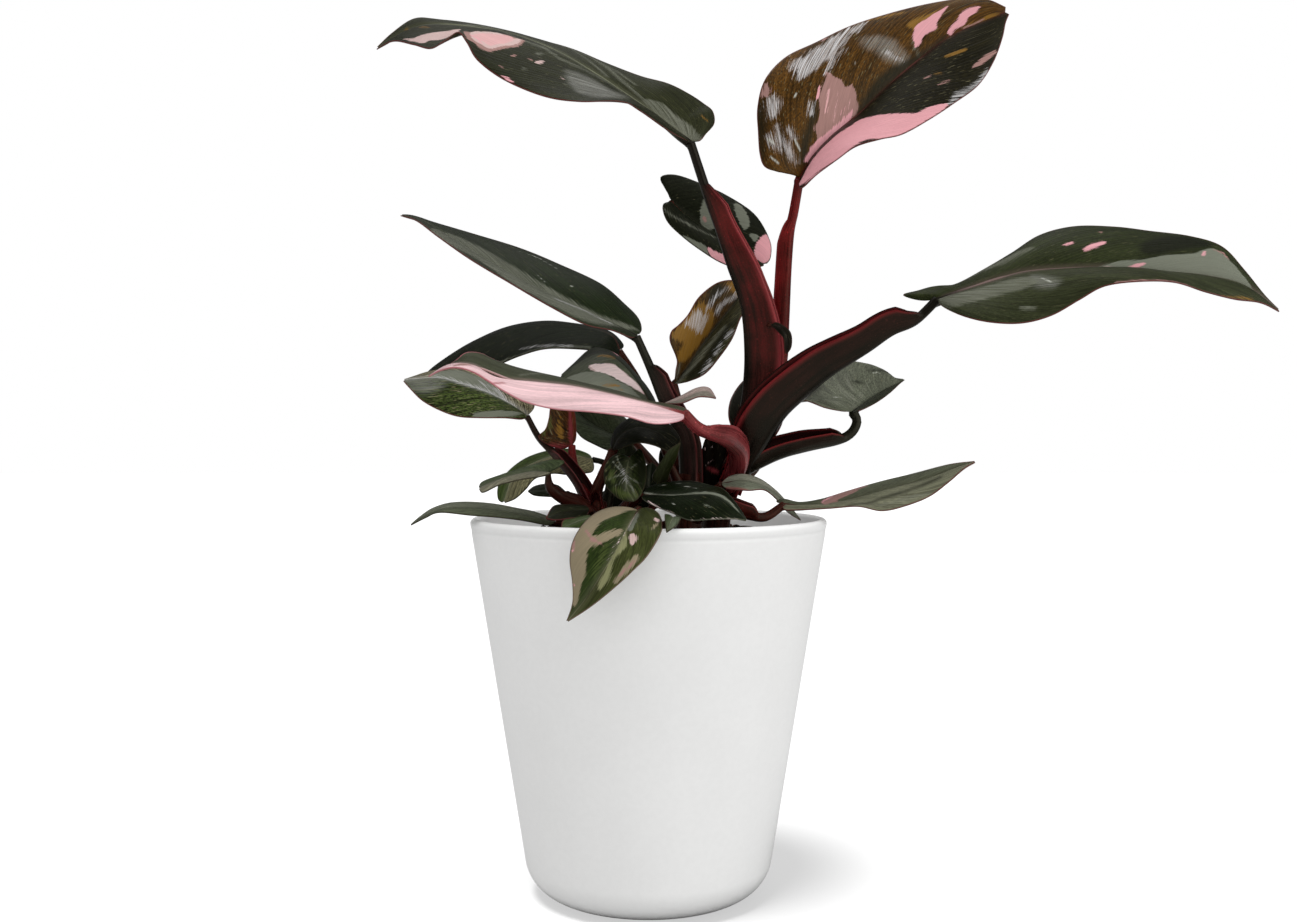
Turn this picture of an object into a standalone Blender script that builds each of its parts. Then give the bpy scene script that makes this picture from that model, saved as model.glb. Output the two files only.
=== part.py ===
"""Potted pink princess philodendron: a white tapered pot, soil, four shoots and their leaf blades.

Metres, +Z up. The origin is the centre of the pot's foot. The plant faces -Y. The shape tables are in
millimetres.
"""

import math

import bmesh
import bpy
from mathutils import Quaternion, Vector

MM = 0.001
GAP = 0.3

# Pot
RIM_RADIUS = 75.0
POT_HEIGHT = 158.0
FOOT_RADIUS = 49.6
FOOT_ROUNDING = 17.5
WALL = 4.0
FLOOR = 5.0
INNER_ROUNDING = 13.0
POT_SIDES = 40

# Soil
SOIL_TOP = 150.5
SOIL_RINGS = 5
SOIL_BUMP = 1.6
BUMP_PER_MM = 0.3
HOLE_DEPTH = 16.0
HOLE_SIDES = 16

# Blades. Rows run across and columns along; the first and last rows stop short of the base and the tip.
RIB_STEPS = 60
RIB_REACH = 0.02
FIRST_ROW = 0.03
LAST_ROW = 0.985
BLADE_THICKNESS = 0.8
BULGE = 0.1
VEIN_FAN = 1.5
LONG_BLADE = 90.0
LONG_ROWS = 13
SHORT_ROWS = 9
BROAD_BLADE = 50.0
BROAD_COLUMNS = 6
SMALL_BLADE = 22.0
SMALL_ROWS = 5
NARROW_COLUMNS = 4
EDGE_CLAMP = 1.2

# Petioles and stems. A seat is the gap from a petiole's end to its blade's base.
SEAT = 0.9
WIDE_SEAT = 1.2
CLOSE_SEAT = 0.6
END_SCALE = 0.6
SHEATH_END = 0.075
SHEATH_ROUNDING = 0.6
PETIOLE_ROW = 9.0
PETIOLE_FLATNESS = 0.85
FREE_PETIOLE_SIDES = 7
STEM_STEPS = 6
STEM_TAPER = 0.25
CURVE_DIVISIONS = 16
SHARP_ANGLE = 50.0

# A sheath's section. Each point: x in half widths, y in half widths, y in wing heights, and the angle of
# the point that it becomes where the petiole is free.
CHANNEL = [
    (0.85, 0, 1, 50),
    (1.05, 0, 0.3, 10),
    (0.8, -0.5, 0, -40),
    (0, -0.85, 0, -90),
    (-0.8, -0.5, 0, -140),
    (-1.05, 0, 0.3, -170),
    (-0.85, 0, 1, 130),
    (-0.6, 0, 0.4, 108),
    (0, 0, 0.15, 90),
    (0.6, 0, 0.4, 72),
]


# Each blade: points of its midrib from base to tip, and points of its margin between base and tip on the
# left and on the right, looking towards the tip with the upper face up.
BLADES = {
    "top_left_blade": dict(
        rib=[(17.5, -4, 314.5), (4.5, -10, 323.5), (-7, -13, 331), (-20, -16, 339), (-36, -18, 348),
             (-54, -18, 355), (-75, -15, 359.5), (-95, -11, 360.5), (-114, -8, 351)],
        left=[(8, -20, 316), (-3.5, -31, 321.5), (-11, -36, 324), (-27, -40, 323), (-40.5, -42, 324.5),
              (-56, -41, 331), (-67, -38, 339.5), (-72, -33, 348), (-76, -29, 353), (-81, -30, 349.5),
              (-86.5, -31, 346), (-94.5, -26, 349), (-104.5, -16, 353)],
        right=[(21.5, -3, 315.5), (24.5, 4, 320), (28, 10, 325.5), (27.5, 14, 331.5), (24, 16, 335),
               (18, 14, 338.5), (8.5, 9, 342), (-3.5, 4, 344), (-18, 0, 348.5), (-30.5, -3, 353),
               (-41.5, -4, 356), (-58, -2, 360.5), (-74.5, -2, 364), (-87, -3, 365.5), (-97, -5, 365.5),
               (-106, -7, 359)],
        bulge=0.04),
    "top_right_blade": dict(
        rib=[(64, 6, 301), (69.5, 7, 310.5), (78, 9, 320), (90, 13, 330), (102, 16, 342), (114, 19, 352.5),
             (128.5, 21, 364), (142, 22, 371), (157.5, 22, 377)],
        left=[(61, 4, 303.5), (54.5, 2, 303.5), (49, 2, 305.5), (47, 4, 311), (46.5, 7, 321),
              (46.5, 10, 332.5), (50, 14, 345), (59, 18, 355.5), (72.5, 22, 363), (88, 25, 371),
              (106, 28, 377.5), (123.5, 29, 382), (139, 28, 384), (148, 25, 382.5), (153.5, 23, 379.5)],
        right=[(64.5, 2, 296.5), (70.5, -2, 301.5), (78.5, -6, 307), (86, -8, 312), (96, -8, 315),
               (105.5, -6, 317.5), (117.5, -2, 324.5), (129, 3, 332.5), (140.5, 9, 341.5), (148, 14, 352.5),
               (153, 19, 364), (155, 21, 371.5)]),
    "right_blade": dict(
        rib=[(117, -22, 247.5), (125.5, -25, 250.5), (136.5, -29, 254), (149.5, -32, 257.5),
             (166.5, -35, 258.5), (186, -37, 258.5), (203, -38, 257), (219, -38, 255.5),
             (234.5, -38, 251.5), (249, -40, 240)],
        left=[(111, -18, 247.5), (104.5, -14, 250), (111, -12, 252), (117, -14, 253.5), (125, -18, 254),
              (136.5, -20, 260), (147.5, -20, 266.5), (159.5, -18, 274), (173.5, -18, 277.5),
              (189.5, -20, 277), (203, -22, 275), (218, -25, 272.5), (229.5, -28, 268), (236.5, -33, 258),
              (243, -37, 247.5)],
        right=[(118, -28, 244), (123.5, -38, 239.5), (133, -44, 236.5), (145, -46, 236), (156.5, -46, 239),
               (167, -47, 245), (176, -49, 250), (188.5, -52, 251.5), (201.5, -53, 251),
               (213.5, -52, 247.5), (226.5, -48, 245), (239, -43, 244)]),
    "behind_blade": dict(
        rib=[(10.5, 60, 300.5), (19, 60, 293), (30.5, 58, 285.5), (42, 55, 278), (53.5, 51, 270)],
        left=[(8.5, 62, 306), (5.5, 62, 312), (12.5, 64, 313.5), (24, 66, 310), (37, 66, 304),
              (49.5, 64, 295), (56, 59, 282.5), (56, 54, 274)],
        right=[(6.5, 56, 298), (8.5, 54, 290.5), (15.5, 51, 283), (24.5, 49, 276), (33.5, 48, 270.5),
               (44, 48, 267.5)]),
    "golden_blade": dict(
        rib=[(11, 16, 214.5), (16.5, 19, 221.5), (22.5, 22, 230.5), (29, 26, 239.5), (36, 30, 248.5),
             (44.5, 35, 260)],
        left=[(11.6, 12, 220), (12.2, 11, 225), (9.2, 9, 232.5), (9.8, 10, 237), (13, 12, 240),
              (17, 15, 244.5), (21.5, 18, 252), (28, 23, 258), (33.5, 27, 260.5), (39.8, 32, 261)],
        right=[(17, 13, 215.5), (24.5, 12, 219), (31, 15, 226.5), (36.5, 19, 234.5), (40.5, 24, 244),
               (45, 30, 252)]),
    "left_blade": dict(
        rib=[(-5, -10, 233.5), (-15, -13, 238.5), (-28, -15, 244.5), (-42.5, -16, 251), (-57, -13, 259),
             (-75.5, -7, 270.5), (-94, 1, 282), (-106.5, 6, 286)],
        left=[(-7.5, -16, 232.5), (-15, -22, 235), (-25.5, -27, 237), (-39.5, -30, 244),
              (-55.5, -27, 253.5), (-72.5, -20, 264), (-87, -10, 274.5), (-97.5, -1, 282.5)],
        right=[(-3, -4, 236.5), (-4.5, 2, 242), (-10, 6, 248), (-20.5, 8, 257), (-37.5, 8, 265),
               (-54.5, 8, 272), (-74, 8, 278), (-91, 8, 283), (-100.5, 8, 286)],
        bulge=0.06),
    "arching_blade": dict(
        rib=[(-13, 40, 230.5), (-16.5, 44, 237.5), (-26.5, 47, 241), (-42.5, 49, 243), (-60.5, 48, 241),
             (-78.5, 44, 234), (-93, 36, 223.5), (-101, 30, 215)],
        left=[(-14.5, 34, 228), (-21.5, 30, 229.5), (-32.5, 28, 230.5), (-45.5, 28, 230.5),
              (-56.5, 28, 227.5), (-67.5, 28, 223), (-81, 28, 218.5), (-92, 28, 216)],
        right=[(-11.5, 50, 233.5), (-15.5, 58, 238.5), (-22.5, 62, 242), (-36.5, 64, 244.5),
               (-50.5, 64, 245.5), (-66.5, 62, 242.5), (-82, 56, 235), (-93, 48, 227), (-99, 40, 221)],
        bulge=0.03),
    "speckled_blade": dict(
        rib=[(-50.5, -8, 200.5), (-56.5, -10, 205), (-64.5, -13, 209.5), (-74, -15, 213), (-85.5, -17, 216),
             (-100.5, -18, 215)],
        left=[(-52, -14, 199), (-58.5, -20, 199.5), (-68, -24, 199.5), (-76.5, -26, 200), (-84, -26, 202.5),
              (-91.5, -24, 206.5), (-97, -21, 211.5)],
        right=[(-48, -2, 204.5), (-50, 4, 209), (-56.5, 5, 214), (-67, 4, 219), (-79.5, 0, 221),
               (-90.5, -8, 219), (-97, -14, 216.5)]),
    "pink_blade": dict(
        rib=[(13.5, -48, 201), (0.5, -58, 204.5), (-12.5, -68, 207.5), (-27, -75, 210.5), (-41.5, -79, 212),
             (-54, -80, 213), (-63.5, -80, 218), (-72.5, -78, 218.5), (-82, -75, 213.5)],
        left=[(13, -52, 198.5), (7.5, -60, 197), (0.5, -68, 197), (-8.5, -77, 199.5), (-20.5, -85, 201),
              (-33.5, -90, 202), (-44, -92, 204.5), (-51, -91, 208), (-57.5, -89, 212), (-63.5, -87, 215.5),
              (-70, -84, 217), (-76, -80, 216)],
        right=[(14.5, -42, 203), (6.5, -42, 205), (-3.5, -46, 206.5), (-14.5, -54, 210), (-26, -60, 212.5),
               (-37, -64, 215), (-48, -66, 217.5), (-57, -68, 220.5), (-62.5, -70, 223), (-67.5, -72, 223),
               (-71, -74, 220), (-76.5, -75, 216.5)],
        bulge=0.04),
    "hooded_blade": dict(
        rib=[(0.5, 10, 206), (-3.5, 11, 213), (-9, 11, 220.5), (-15.5, 11, 226), (-22, 9, 227),
             (-29, 5, 223.5), (-37, 0, 217.5)],
        left=[(-1.5, 2, 203), (-8.5, -8, 205.5), (-18, -12, 208.5), (-27.5, -12, 210.5), (-34.5, -8, 213)],
        right=[(3, 20, 207), (-1, 26, 214), (-7.5, 30, 221), (-14.5, 31, 228), (-21.5, 29, 231),
               (-26.5, 24, 229.5), (-32, 14, 223.5)],
        bulge=0.05),
    "shaded_blade": dict(
        rib=[(-6.5, 24, 189.5), (-16, 27, 193), (-25, 30, 197.5), (-34, 33, 204.5)],
        left=[(-8, 20, 186.5), (-16, 18, 185.5), (-23.5, 17, 188.5), (-29.5, 18, 192), (-33, 22, 197.5)],
        right=[(-6.5, 30, 195), (-12, 36, 201.5), (-22, 40, 208.5), (-31, 40, 209)]),
    "tucked_blade": dict(
        rib=[(-14.5, -22, 186.5), (-11.5, -27, 192), (-5, -31, 195.5), (3, -33, 194), (11.5, -34, 188.5)],
        left=[(-15, -16, 190.5), (-11.5, -14, 197), (-2.5, -16, 201), (7, -22, 198), (12.5, -29, 191.5)],
        right=[(-11.5, -30, 187), (-4, -40, 189.5), (2.5, -42, 188.5), (8.5, -40, 186)]),
    "right_middle_blade": dict(
        rib=[(86.5, 2, 202.5), (94, 14, 207), (102, 28, 211), (110, 42, 214.5), (118, 54, 218)],
        left=[(81.5, -2, 202.5), (73.5, -5, 204), (65, -4, 207), (58, 2, 205.5), (58, 12, 208),
              (65.5, 24, 214), (76.5, 34, 221), (88.5, 42, 225.5), (99, 48, 225), (106, 53, 223),
              (110.5, 55, 219)],
        right=[(90, 4, 203), (98.5, 16, 206.5), (107, 32, 211), (114, 47, 215.5)]),
    "low_right_blade": dict(
        rib=[(56, -14, 164), (62.5, -15, 163.5), (72.5, -17, 164), (84, -21, 167), (97, -27, 171),
             (110, -33, 175), (121, -38, 179.5), (129, -42, 182.5)],
        left=[(53, -10, 165), (56, -8, 166), (63, -9, 164.5), (72, -10, 166), (82.5, -12, 169.5),
              (95, -17, 173.5), (107, -25, 177), (119.5, -35, 181)],
        right=[(55.5, -18, 162), (61.5, -20, 162), (73.5, -25, 163), (84, -30, 164), (92.5, -35, 162.5),
               (101, -38, 164.5), (110.5, -40, 168.5), (118, -42, 174.5), (123.5, -43, 179.5)]),
    "striped_blade": dict(
        rib=[(30, -15, 172.5), (38, -18, 174), (47, -14, 171.5), (56, -5, 165.5), (65, 4, 156)],
        left=[(33.5, -13, 175.5), (39.5, -14, 176.5), (47, -9, 174), (54, 0, 168.5), (60, 4, 161.5)],
        right=[(32.5, -19, 170.5), (40.5, -22, 170), (47.5, -18, 170), (53.5, -10, 165.5), (58.5, -2, 160)]),
    "front_blade": dict(
        rib=[(-2, -42, 169), (5, -47, 169.5), (16, -53, 170), (24, -57, 170), (30, -60, 167),
             (37.5, -60, 160)],
        left=[(0, -38, 172), (7.5, -38, 174), (16.5, -41, 174.5), (24, -45, 173), (29, -49, 171.5),
              (33.5, -54, 166.5)],
        right=[(-2, -47, 167.5), (3, -54, 165), (9, -60, 163), (15.5, -64, 160.5), (24, -66, 161),
               (32, -64, 161)]),
    "hanging_blade": dict(
        rib=[(-4, -60, 164), (-7, -74, 160), (-10.5, -84, 153), (-16, -87, 144), (-22.5, -86, 134),
             (-30, -84, 124.5)],
        left=[(-1, -58, 165), (2.5, -61, 164), (4.5, -69, 162), (5, -77, 159), (4, -84, 156),
              (-0.5, -87, 149), (-5, -89, 144.5), (-11.5, -89, 138.5), (-20.5, -87, 131)],
        right=[(-8, -60, 165), (-13.5, -64, 165.5), (-19, -70, 164), (-24, -77, 160), (-27.5, -82, 154),
               (-28.5, -84, 147.5), (-27.5, -85, 139.5), (-27.5, -85, 132)]),
    "low_left_blade": dict(
        rib=[(-38, -18, 157), (-48.5, -19, 159.5), (-58.5, -21, 161.5), (-70.5, -23, 163),
             (-82.5, -23, 162.5), (-91, -21, 159.5), (-97.5, -20, 155.5)],
        left=[(-41, -22, 156), (-50, -26, 158), (-59.5, -29, 159.5), (-71.5, -30, 160.5), (-84, -28, 161.5),
              (-90.5, -24, 159)],
        right=[(-41.5, -12, 158.5), (-49, -11, 161), (-56.5, -12, 162.5), (-67.5, -14, 164.5),
               (-79.5, -17, 165), (-87.5, -18, 163), (-93, -19, 159.5)]),
    "small_left_blade": dict(
        rib=[(-40.5, -26, 177.5), (-46, -29, 178), (-52, -31.5, 177), (-59, -34, 175), (-67, -38, 171.5)],
        left=[(-39.5, -29, 177), (-43, -32, 176), (-50, -35, 175), (-58.5, -38, 173), (-65, -40, 170)],
        right=[(-36, -24, 180), (-34, -22, 182), (-40, -22, 182.5), (-50, -26, 179.5),
               (-59.5, -29, 176.5), (-66, -34, 174)]),
    "streaked_blade": dict(
        rib=[(-24, 4, 182.5), (-31.5, 4, 184), (-41, 2, 183.5), (-50, 0, 180), (-57, -3, 174.5),
             (-60.5, -6, 164)],
        left=[(-23, -1, 179), (-24, -4, 177), (-29, -5, 176.5), (-34, -6, 176), (-40, -7, 176.5), (-47, -8, 174.5), (-51, -9, 170),
              (-55.5, -8, 166)],
        right=[(-26, 8, 184.5), (-32.5, 9, 186.5), (-42, 8, 186), (-51.5, 6, 183), (-58.5, 3, 178),
               (-63, 0, 172), (-63, -4, 166)]),
    "crinkled_blade": dict(
        rib=[(-7.5, -30, 183.5), (-8.5, -34, 179.5), (-9, -38, 175), (-8, -42, 170.5), (-5.5, -45, 166.5)],
        left=[(-3.5, -27, 187), (-1.5, -30, 183), (-0.8, -34, 178), (-1.2, -38, 173.5), (-3, -43, 169)],
        right=[(-12.5, -30, 185), (-16.5, -31.5, 182), (-17.7, -34.5, 177.5), (-17, -38, 173),
               (-14, -41.5, 169.5), (-10, -44, 167)]),
    "curled_blade": dict(
        rib=[(6.5, -18, 205.5), (13.5, -16, 207), (20, -14, 210), (24, -13, 210.5), (28, -12, 207.5)],
        left=[(13, -14, 208.5), (20, -11, 212), (25, -11, 212)],
        right=[(13.5, -19, 205.5), (20, -17, 208), (24.5, -15, 208)]),
    "furled_blade": dict(
        rib=[(-31.8, -9, 188.5), (-31.8, -11, 194), (-32.2, -14, 200.5), (-33, -18, 208)],
        left=[(-35.5, -11, 187), (-39, -12.5, 187.5), (-43, -13, 189.5), (-45.5, -13, 192),
              (-42.5, -13, 195), (-41, -14, 199.5), (-39.5, -16, 205.5)],
        right=[(-30.3, -8.5, 191), (-30, -11, 196), (-30.5, -15, 202.5)]),
    "back_blade": dict(
        rib=[(47.5, 26, 187.5), (48, 36, 197), (49.5, 46, 206), (50, 58, 216.5)],
        left=[(40.5, 20, 189.5), (35.5, 24, 198.5), (36, 32, 207), (40.5, 44, 214.5), (46, 54, 219)],
        right=[(53, 20, 189.5), (58.5, 24, 197.5), (60, 32, 206), (57.5, 44, 214), (53.5, 54, 218.5)]),
    "pointed_blade": dict(
        rib=[(4, -28, 173), (6.5, -36, 179), (9, -44, 185), (12.5, -48, 190)],
        left=[(1.5, -29, 176), (4.5, -37, 181.5), (8, -45, 187)],
        right=[(7.5, -28, 174.5), (8.5, -35, 178), (11, -43, 184)]),
    "upright_blade": dict(
        rib=[(1.5, -22, 165.5), (0.5, -20, 172), (1.5, -17, 181.5)],
        left=[(-2.5, -21, 169.5), (-3, -19, 175), (-1.5, -18, 179.5)],
        right=[(5, -21, 169.5), (5, -19, 175), (3.5, -18, 179.5)]),
    "resting_blade": dict(
        rib=[(-35, 6, 168), (-41, 6, 169), (-46, 6, 169), (-51.5, 6, 168.5)],
        left=[(-38.5, 3, 166.5), (-44, 3, 166.5), (-48.5, 3, 167)],
        right=[(-39, 10, 171), (-44.5, 10, 171.5), (-49, 10, 170.5)]),
    "scale_blade": dict(
        rib=[(25.2, 4, 167.5), (26, 3, 176), (27, 2, 185), (27.5, 1.5, 195)],
        left=[(22.6, 4, 170.5), (22.6, 3.2, 178), (22.6, 2.2, 186), (24.5, 1.5, 192)],
        right=[(28, 3, 171), (30.5, 1.5, 178), (32.8, 0.5, 186), (31, 0.5, 192)]),
    "inner_blade": dict(
        rib=[(16, 22, 166), (14, 28, 174), (11, 31, 182), (8, 32, 189)],
        left=[(9, 26, 170), (5, 30, 178), (5, 32, 185)],
        right=[(19, 27, 170), (19, 30, 178), (14, 32, 186)]),
    "folded_blade": dict(
        rib=[(8.5, -63.5, 160.8), (9, -69.5, 162), (8.3, -75.5, 161), (6.5, -80, 157)],
        left=[(11.5, -66.5, 160.8), (12, -72, 161.8), (10.3, -77.3, 159.5)],
        right=[(6.3, -66.5, 162), (6, -72, 163.2), (6, -77, 161)]),
    "shadow_blade": dict(
        rib=[(-7, 2, 168), (-8.5, 3, 176), (-10, 4, 184), (-11, 5, 193)],
        left=[(-11.5, 1.5, 171), (-13, 2.5, 178), (-13.5, 3, 186)],
        right=[(-3, 3, 171), (-2.8, 4, 177), (-4.5, 4.5, 185)]),
    "ground_blade": dict(
        rib=[(8, 12, 163.5), (-3, 19, 166.5), (-15, 24, 166.5), (-26, 26, 163)],
        left=[(2, 14, 160.5), (-9, 19, 161.5), (-18, 22, 160.5)],
        right=[(2, 18, 168.5), (-9, 25, 171), (-19, 28, 168)]),
    "curled_scrap": dict(
        rib=[(51, -4, 238.5), (55.5, -6, 237.5), (58, -7, 232.5), (57.5, -6, 226)],
        left=[(54, -5, 239.5), (59, -7, 235.5), (59.5, -7, 229.5)],
        right=[(53.5, -6, 236), (56, -8, 232.5), (56.5, -7.5, 228)]),
    "rim_blade": dict(
        rib=[(-23.5, -34, 163), (-29, -38, 163), (-34.5, -42, 162.5), (-40, -46, 160)],
        left=[(-25, -40, 160.5), (-30.5, -45, 160), (-36, -47, 159.5)],
        right=[(-26, -32, 164.5), (-32, -34, 165), (-37.5, -38, 164.5)]),
    "edge_blade": dict(
        rib=[(-21.5, -52, 161), (-26, -56, 160), (-30, -60, 158.5), (-33, -62, 157)],
        left=[(-23, -57, 158.5), (-27, -61, 157), (-30.5, -63, 157)],
        right=[(-24, -49, 161.5), (-29, -53, 160.5), (-32.5, -57, 160)]),
}

# Each shoot: its stem from inside the soil upwards, the stem's half width, and the petiole of each blade
# as the points that its back passes. Half widths and the height of the sheath's wings run from the stem to
# the blade. The sheath ends at the given share of the petiole's length and opens the given way.
SHOOTS = {
    "main_shoot": dict(stem=[(29, 11, 136), (29, 11, 156), (33, 9, 170), (38, 6, 184)], half=6.5, petioles={
        "top_left_blade": dict(
            path=[(33, 8, 168), (41, 4, 195), (44, 4, 222), (42, 2, 245), (35, 0, 265), (30, -1, 279),
                  (24, -3, 295)],
            half=(5, 4.5, 4, 3, 2.4, 2.2), wing=(6, 10.5, 13, 10.5, 6.5, 1), sheath=0.88, opens=(1, -0.25, 0),
            seat=CLOSE_SEAT),
        "top_right_blade": dict(
            path=[(35, 11, 172), (52, 11, 206), (57, 12, 225), (58, 12, 242), (60, 11, 276), (62, 9, 288)],
            half=(5, 4, 3, 2.5, 2.3), wing=4.5, sheath=0.87, opens=(-1, 0.3, 0), seat=WIDE_SEAT),
        "right_blade": dict(
            path=[(36, 4, 173), (44, -2, 188), (52, -7, 201), (60, -9, 209), (69, -12, 216), (80, -15, 223),
                  (90, -18, 229), (99, -20, 235), (108, -22, 239)],
            half=(6, 6, 5, 3, 2.2, 2.2), wing=(7, 12.5, 12, 9.5, 6), sheath=0.92, opens=(-0.5, -0.3, 0.8)),
        "pink_blade": dict(
            path=[(33, 3, 170), (37, -6, 179), (37, -14, 185), (34, -22, 189), (30, -30, 191.5),
                  (25, -37, 193), (19, -43, 195.5)],
            half=(4, 4, 3.6, 3, 2.6), wing=(3, 6, 6, 4, 2), sheath=0.8, opens=(-0.2, -0.4, 0.9),
            seat=WIDE_SEAT),
        "right_middle_blade": dict(
            path=[(33, 4, 170), (39, 1, 178), (50, 1, 184), (64, 0, 188), (78, 0, 190), (85, 1, 193),
                  (88, 2, 198)],
            half=(4, 4.5, 3.5, 2.2, 2), wing=6, sheath=0.8, opens=(-0.2, -0.6, 0.8)),
        "behind_blade": dict(
            path=[(36, 10, 172), (43.5, 14, 188), (48, 28, 215), (52, 50, 240), (50, 68, 263), (38, 76, 279),
                  (20, 75, 292)],
            half=(5, 4, 2.5, 2, 1.4), wing=4, sheath=0.3, opens=(0, -1, 0),
            seat=WIDE_SEAT),
        "back_blade": dict(
            path=[(36, 13, 170), (46, 18, 179)],
            half=(4, 3, 2)),
        "scale_blade": dict(
            path=[(29, 9, 156), (26, 6, 162)],
            half=(3, 2.4, 1.6)),
        "curled_scrap": dict(
            path=[(49.3, 0.8, 239), (50.2, -1.6, 239)],
            half=(1.4, 1.3, 1)),
    }),
    "middle_shoot": dict(stem=[(17, -4, 136), (17, -4, 158), (17, -5, 178)], half=6.0, petioles={
        "left_blade": dict(
            path=[(17, -4, 163), (16, -4, 186), (12, -5, 197), (6, -6, 208), (1, -8, 220)],
            half=(5.5, 4.5, 3, 2.2, 1.9), wing=(5, 6, 5), sheath=0.82, opens=(1, -0.3, 0), seat=CLOSE_SEAT),
        "golden_blade": dict(
            path=[(18, 0, 166), (17, 8, 192), (13, 15, 207)],
            half=(4, 3, 2, 1.7), wing=3, sheath=0.3, opens=(0, -1, 0)),
        "hooded_blade": dict(
            path=[(15, 0, 166), (10, 6, 186), (4, 9, 199)],
            half=(4, 3, 2, 1.7), wing=3, sheath=0.3, opens=(0, -1, 0)),
        "low_right_blade": dict(
            path=[(19, -6, 157), (24, -12, 164), (32, -17, 163), (41, -17, 160), (48, -16, 159)],
            half=(3.5, 3.5, 3, 2.2, 1.9), wing=4.5, sheath=0.72, opens=(0, -0.2, 0.95)),
        "striped_blade": dict(
            path=[(20, -4, 160), (24, -10, 167)],
            half=(3, 2, 1.4), seat=CLOSE_SEAT),
        "curled_blade": dict(
            path=[(15, -9, 166), (6, -14, 188), (3, -17, 199)],
            half=(3, 1.6, 1.2)),
        "arching_blade": dict(
            path=[(14, 1, 163), (9, 18, 184), (2, 34, 203), (-5, 40, 218)],
            half=(4, 2.6, 1.8, 1.5)),
        "shaded_blade": dict(
            path=[(14, 3, 162), (4, 14, 177), (-3, 21, 186)],
            half=(4, 2.6, 1.8)),
        "inner_blade": dict(
            path=[(17, 1, 157), (17, 12, 161)],
            half=(3, 2.4, 1.6)),
        "ground_blade": dict(
            path=[(16, 1, 157), (12.5, 7, 160.5)],
            half=(3, 2, 1.4), seat=CLOSE_SEAT),
    }),
    "left_shoot": dict(stem=[(-20, -14, 136), (-20, -14, 156), (-21, -14, 166)], half=4.5, petioles={
        "speckled_blade": dict(
            path=[(-21, -15, 157), (-28, -14, 172), (-37, -12, 183), (-45, -10, 191)],
            half=(3, 2.8, 2.4, 1.5, 1.3), wing=4, sheath=0.66, opens=(0.5, -0.7, 0.4)),
        "furled_blade": dict(
            path=[(-20, -14, 157), (-27, -12, 170), (-31, -9.5, 178), (-31.8, -8.5, 184)],
            half=(3, 3.4, 2.7, 1.7)),
        "small_left_blade": dict(
            path=[(-21, -17, 157), (-29, -20, 164.5), (-36, -22, 168), (-40, -24, 172)],
            half=(4, 4.5, 3, 1.3)),
        "streaked_blade": dict(
            path=[(-19, -10, 158), (-16, -2, 172), (-18, 4, 180)],
            half=(3, 2, 1.2), seat=CLOSE_SEAT),
        "tucked_blade": dict(
            path=[(-19, -14, 157), (-21.5, -15.5, 168), (-19, -17.5, 175.5), (-16.5, -19.5, 181)],
            half=(3, 2.6, 2.2, 1.8), wing=3, sheath=0.4, opens=(0, -1, 0)),
        "resting_blade": dict(
            path=[(-20, -11, 157), (-26, -2, 163)],
            half=(3, 2, 1.3)),
        "shadow_blade": dict(
            path=[(-18, -11, 157), (-11, -4, 162)],
            half=(3, 2, 1.4)),
        "low_left_blade": dict(
            path=[(-22, -15, 156), (-32, -17, 156)],
            half=(3, 2, 1.4), seat=CLOSE_SEAT),
        "rim_blade": dict(
            path=[(-20, -17, 156), (-22, -25, 160)],
            half=(3, 2, 1.4)),
    }),
    "front_shoot": dict(stem=[(-5, -30, 136), (-5, -30, 154), (-5, -30, 162)], half=4.0, petioles={
        "crinkled_blade": dict(
            path=[(-6, -29, 158), (-7, -25, 168), (-8, -24, 176), (-8, -26, 181)],
            half=(3, 2, 1.3)),
        "front_blade": dict(
            path=[(-4, -31, 157), (-6, -35, 165)],
            half=(3, 2, 1.3)),
        "hanging_blade": dict(
            path=[(-5, -33, 157), (-5, -44, 161), (-4, -54, 164)],
            half=(3, 2.2, 1.5)),
        "edge_blade": dict(
            path=[(-6, -32, 157), (-13, -42, 159)],
            half=(3, 2, 1.4)),
        "pointed_blade": dict(
            path=[(-3, -30, 158), (3, -30, 166)],
            half=(3, 1.6, 1.1)),
        "upright_blade": dict(
            path=[(-3, -28, 157), (0, -24, 161)],
            half=(3, 1.6, 1.1)),
        "folded_blade": dict(
            path=[(-3, -31, 156), (2, -43, 157.5), (6, -54, 158.5)],
            half=(3, 1.6, 1.2)),
    }),
}


def clear_scene():
    for obj in list(bpy.data.objects):
        bpy.data.objects.remove(obj)


def material(name, color, roughness):
    made = bpy.data.materials.new(name)
    made.use_nodes = True
    shader = made.node_tree.nodes["Principled BSDF"]
    shader.inputs["Base Color"].default_value = (*color, 1.0)
    shader.inputs["Roughness"].default_value = roughness
    return made


def add_object(name, bm, finish=None, smooth=True):
    """A new object from a bmesh in millimetres."""
    bmesh.ops.scale(bm, vec=(MM, MM, MM), verts=bm.verts)
    mesh = bpy.data.meshes.new(name)
    bm.to_mesh(mesh)
    bm.free()
    if smooth:
        mesh.shade_smooth()
        mesh.set_sharp_from_angle(angle=math.radians(SHARP_ANGLE))
    if finish:
        mesh.materials.append(finish)
    obj = bpy.data.objects.new(name, mesh)
    bpy.context.scene.collection.objects.link(obj)
    return obj


def profile(values, at):
    """A value that runs along a leaf: one number, or several spaced evenly from base to tip."""
    if not isinstance(values, tuple):
        return values
    place = at * (len(values) - 1)
    index = min(int(place), len(values) - 2)
    part = place - index
    part = part * part * (3 - 2 * part)
    return values[index] * (1 - part) + values[index + 1] * part


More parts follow.
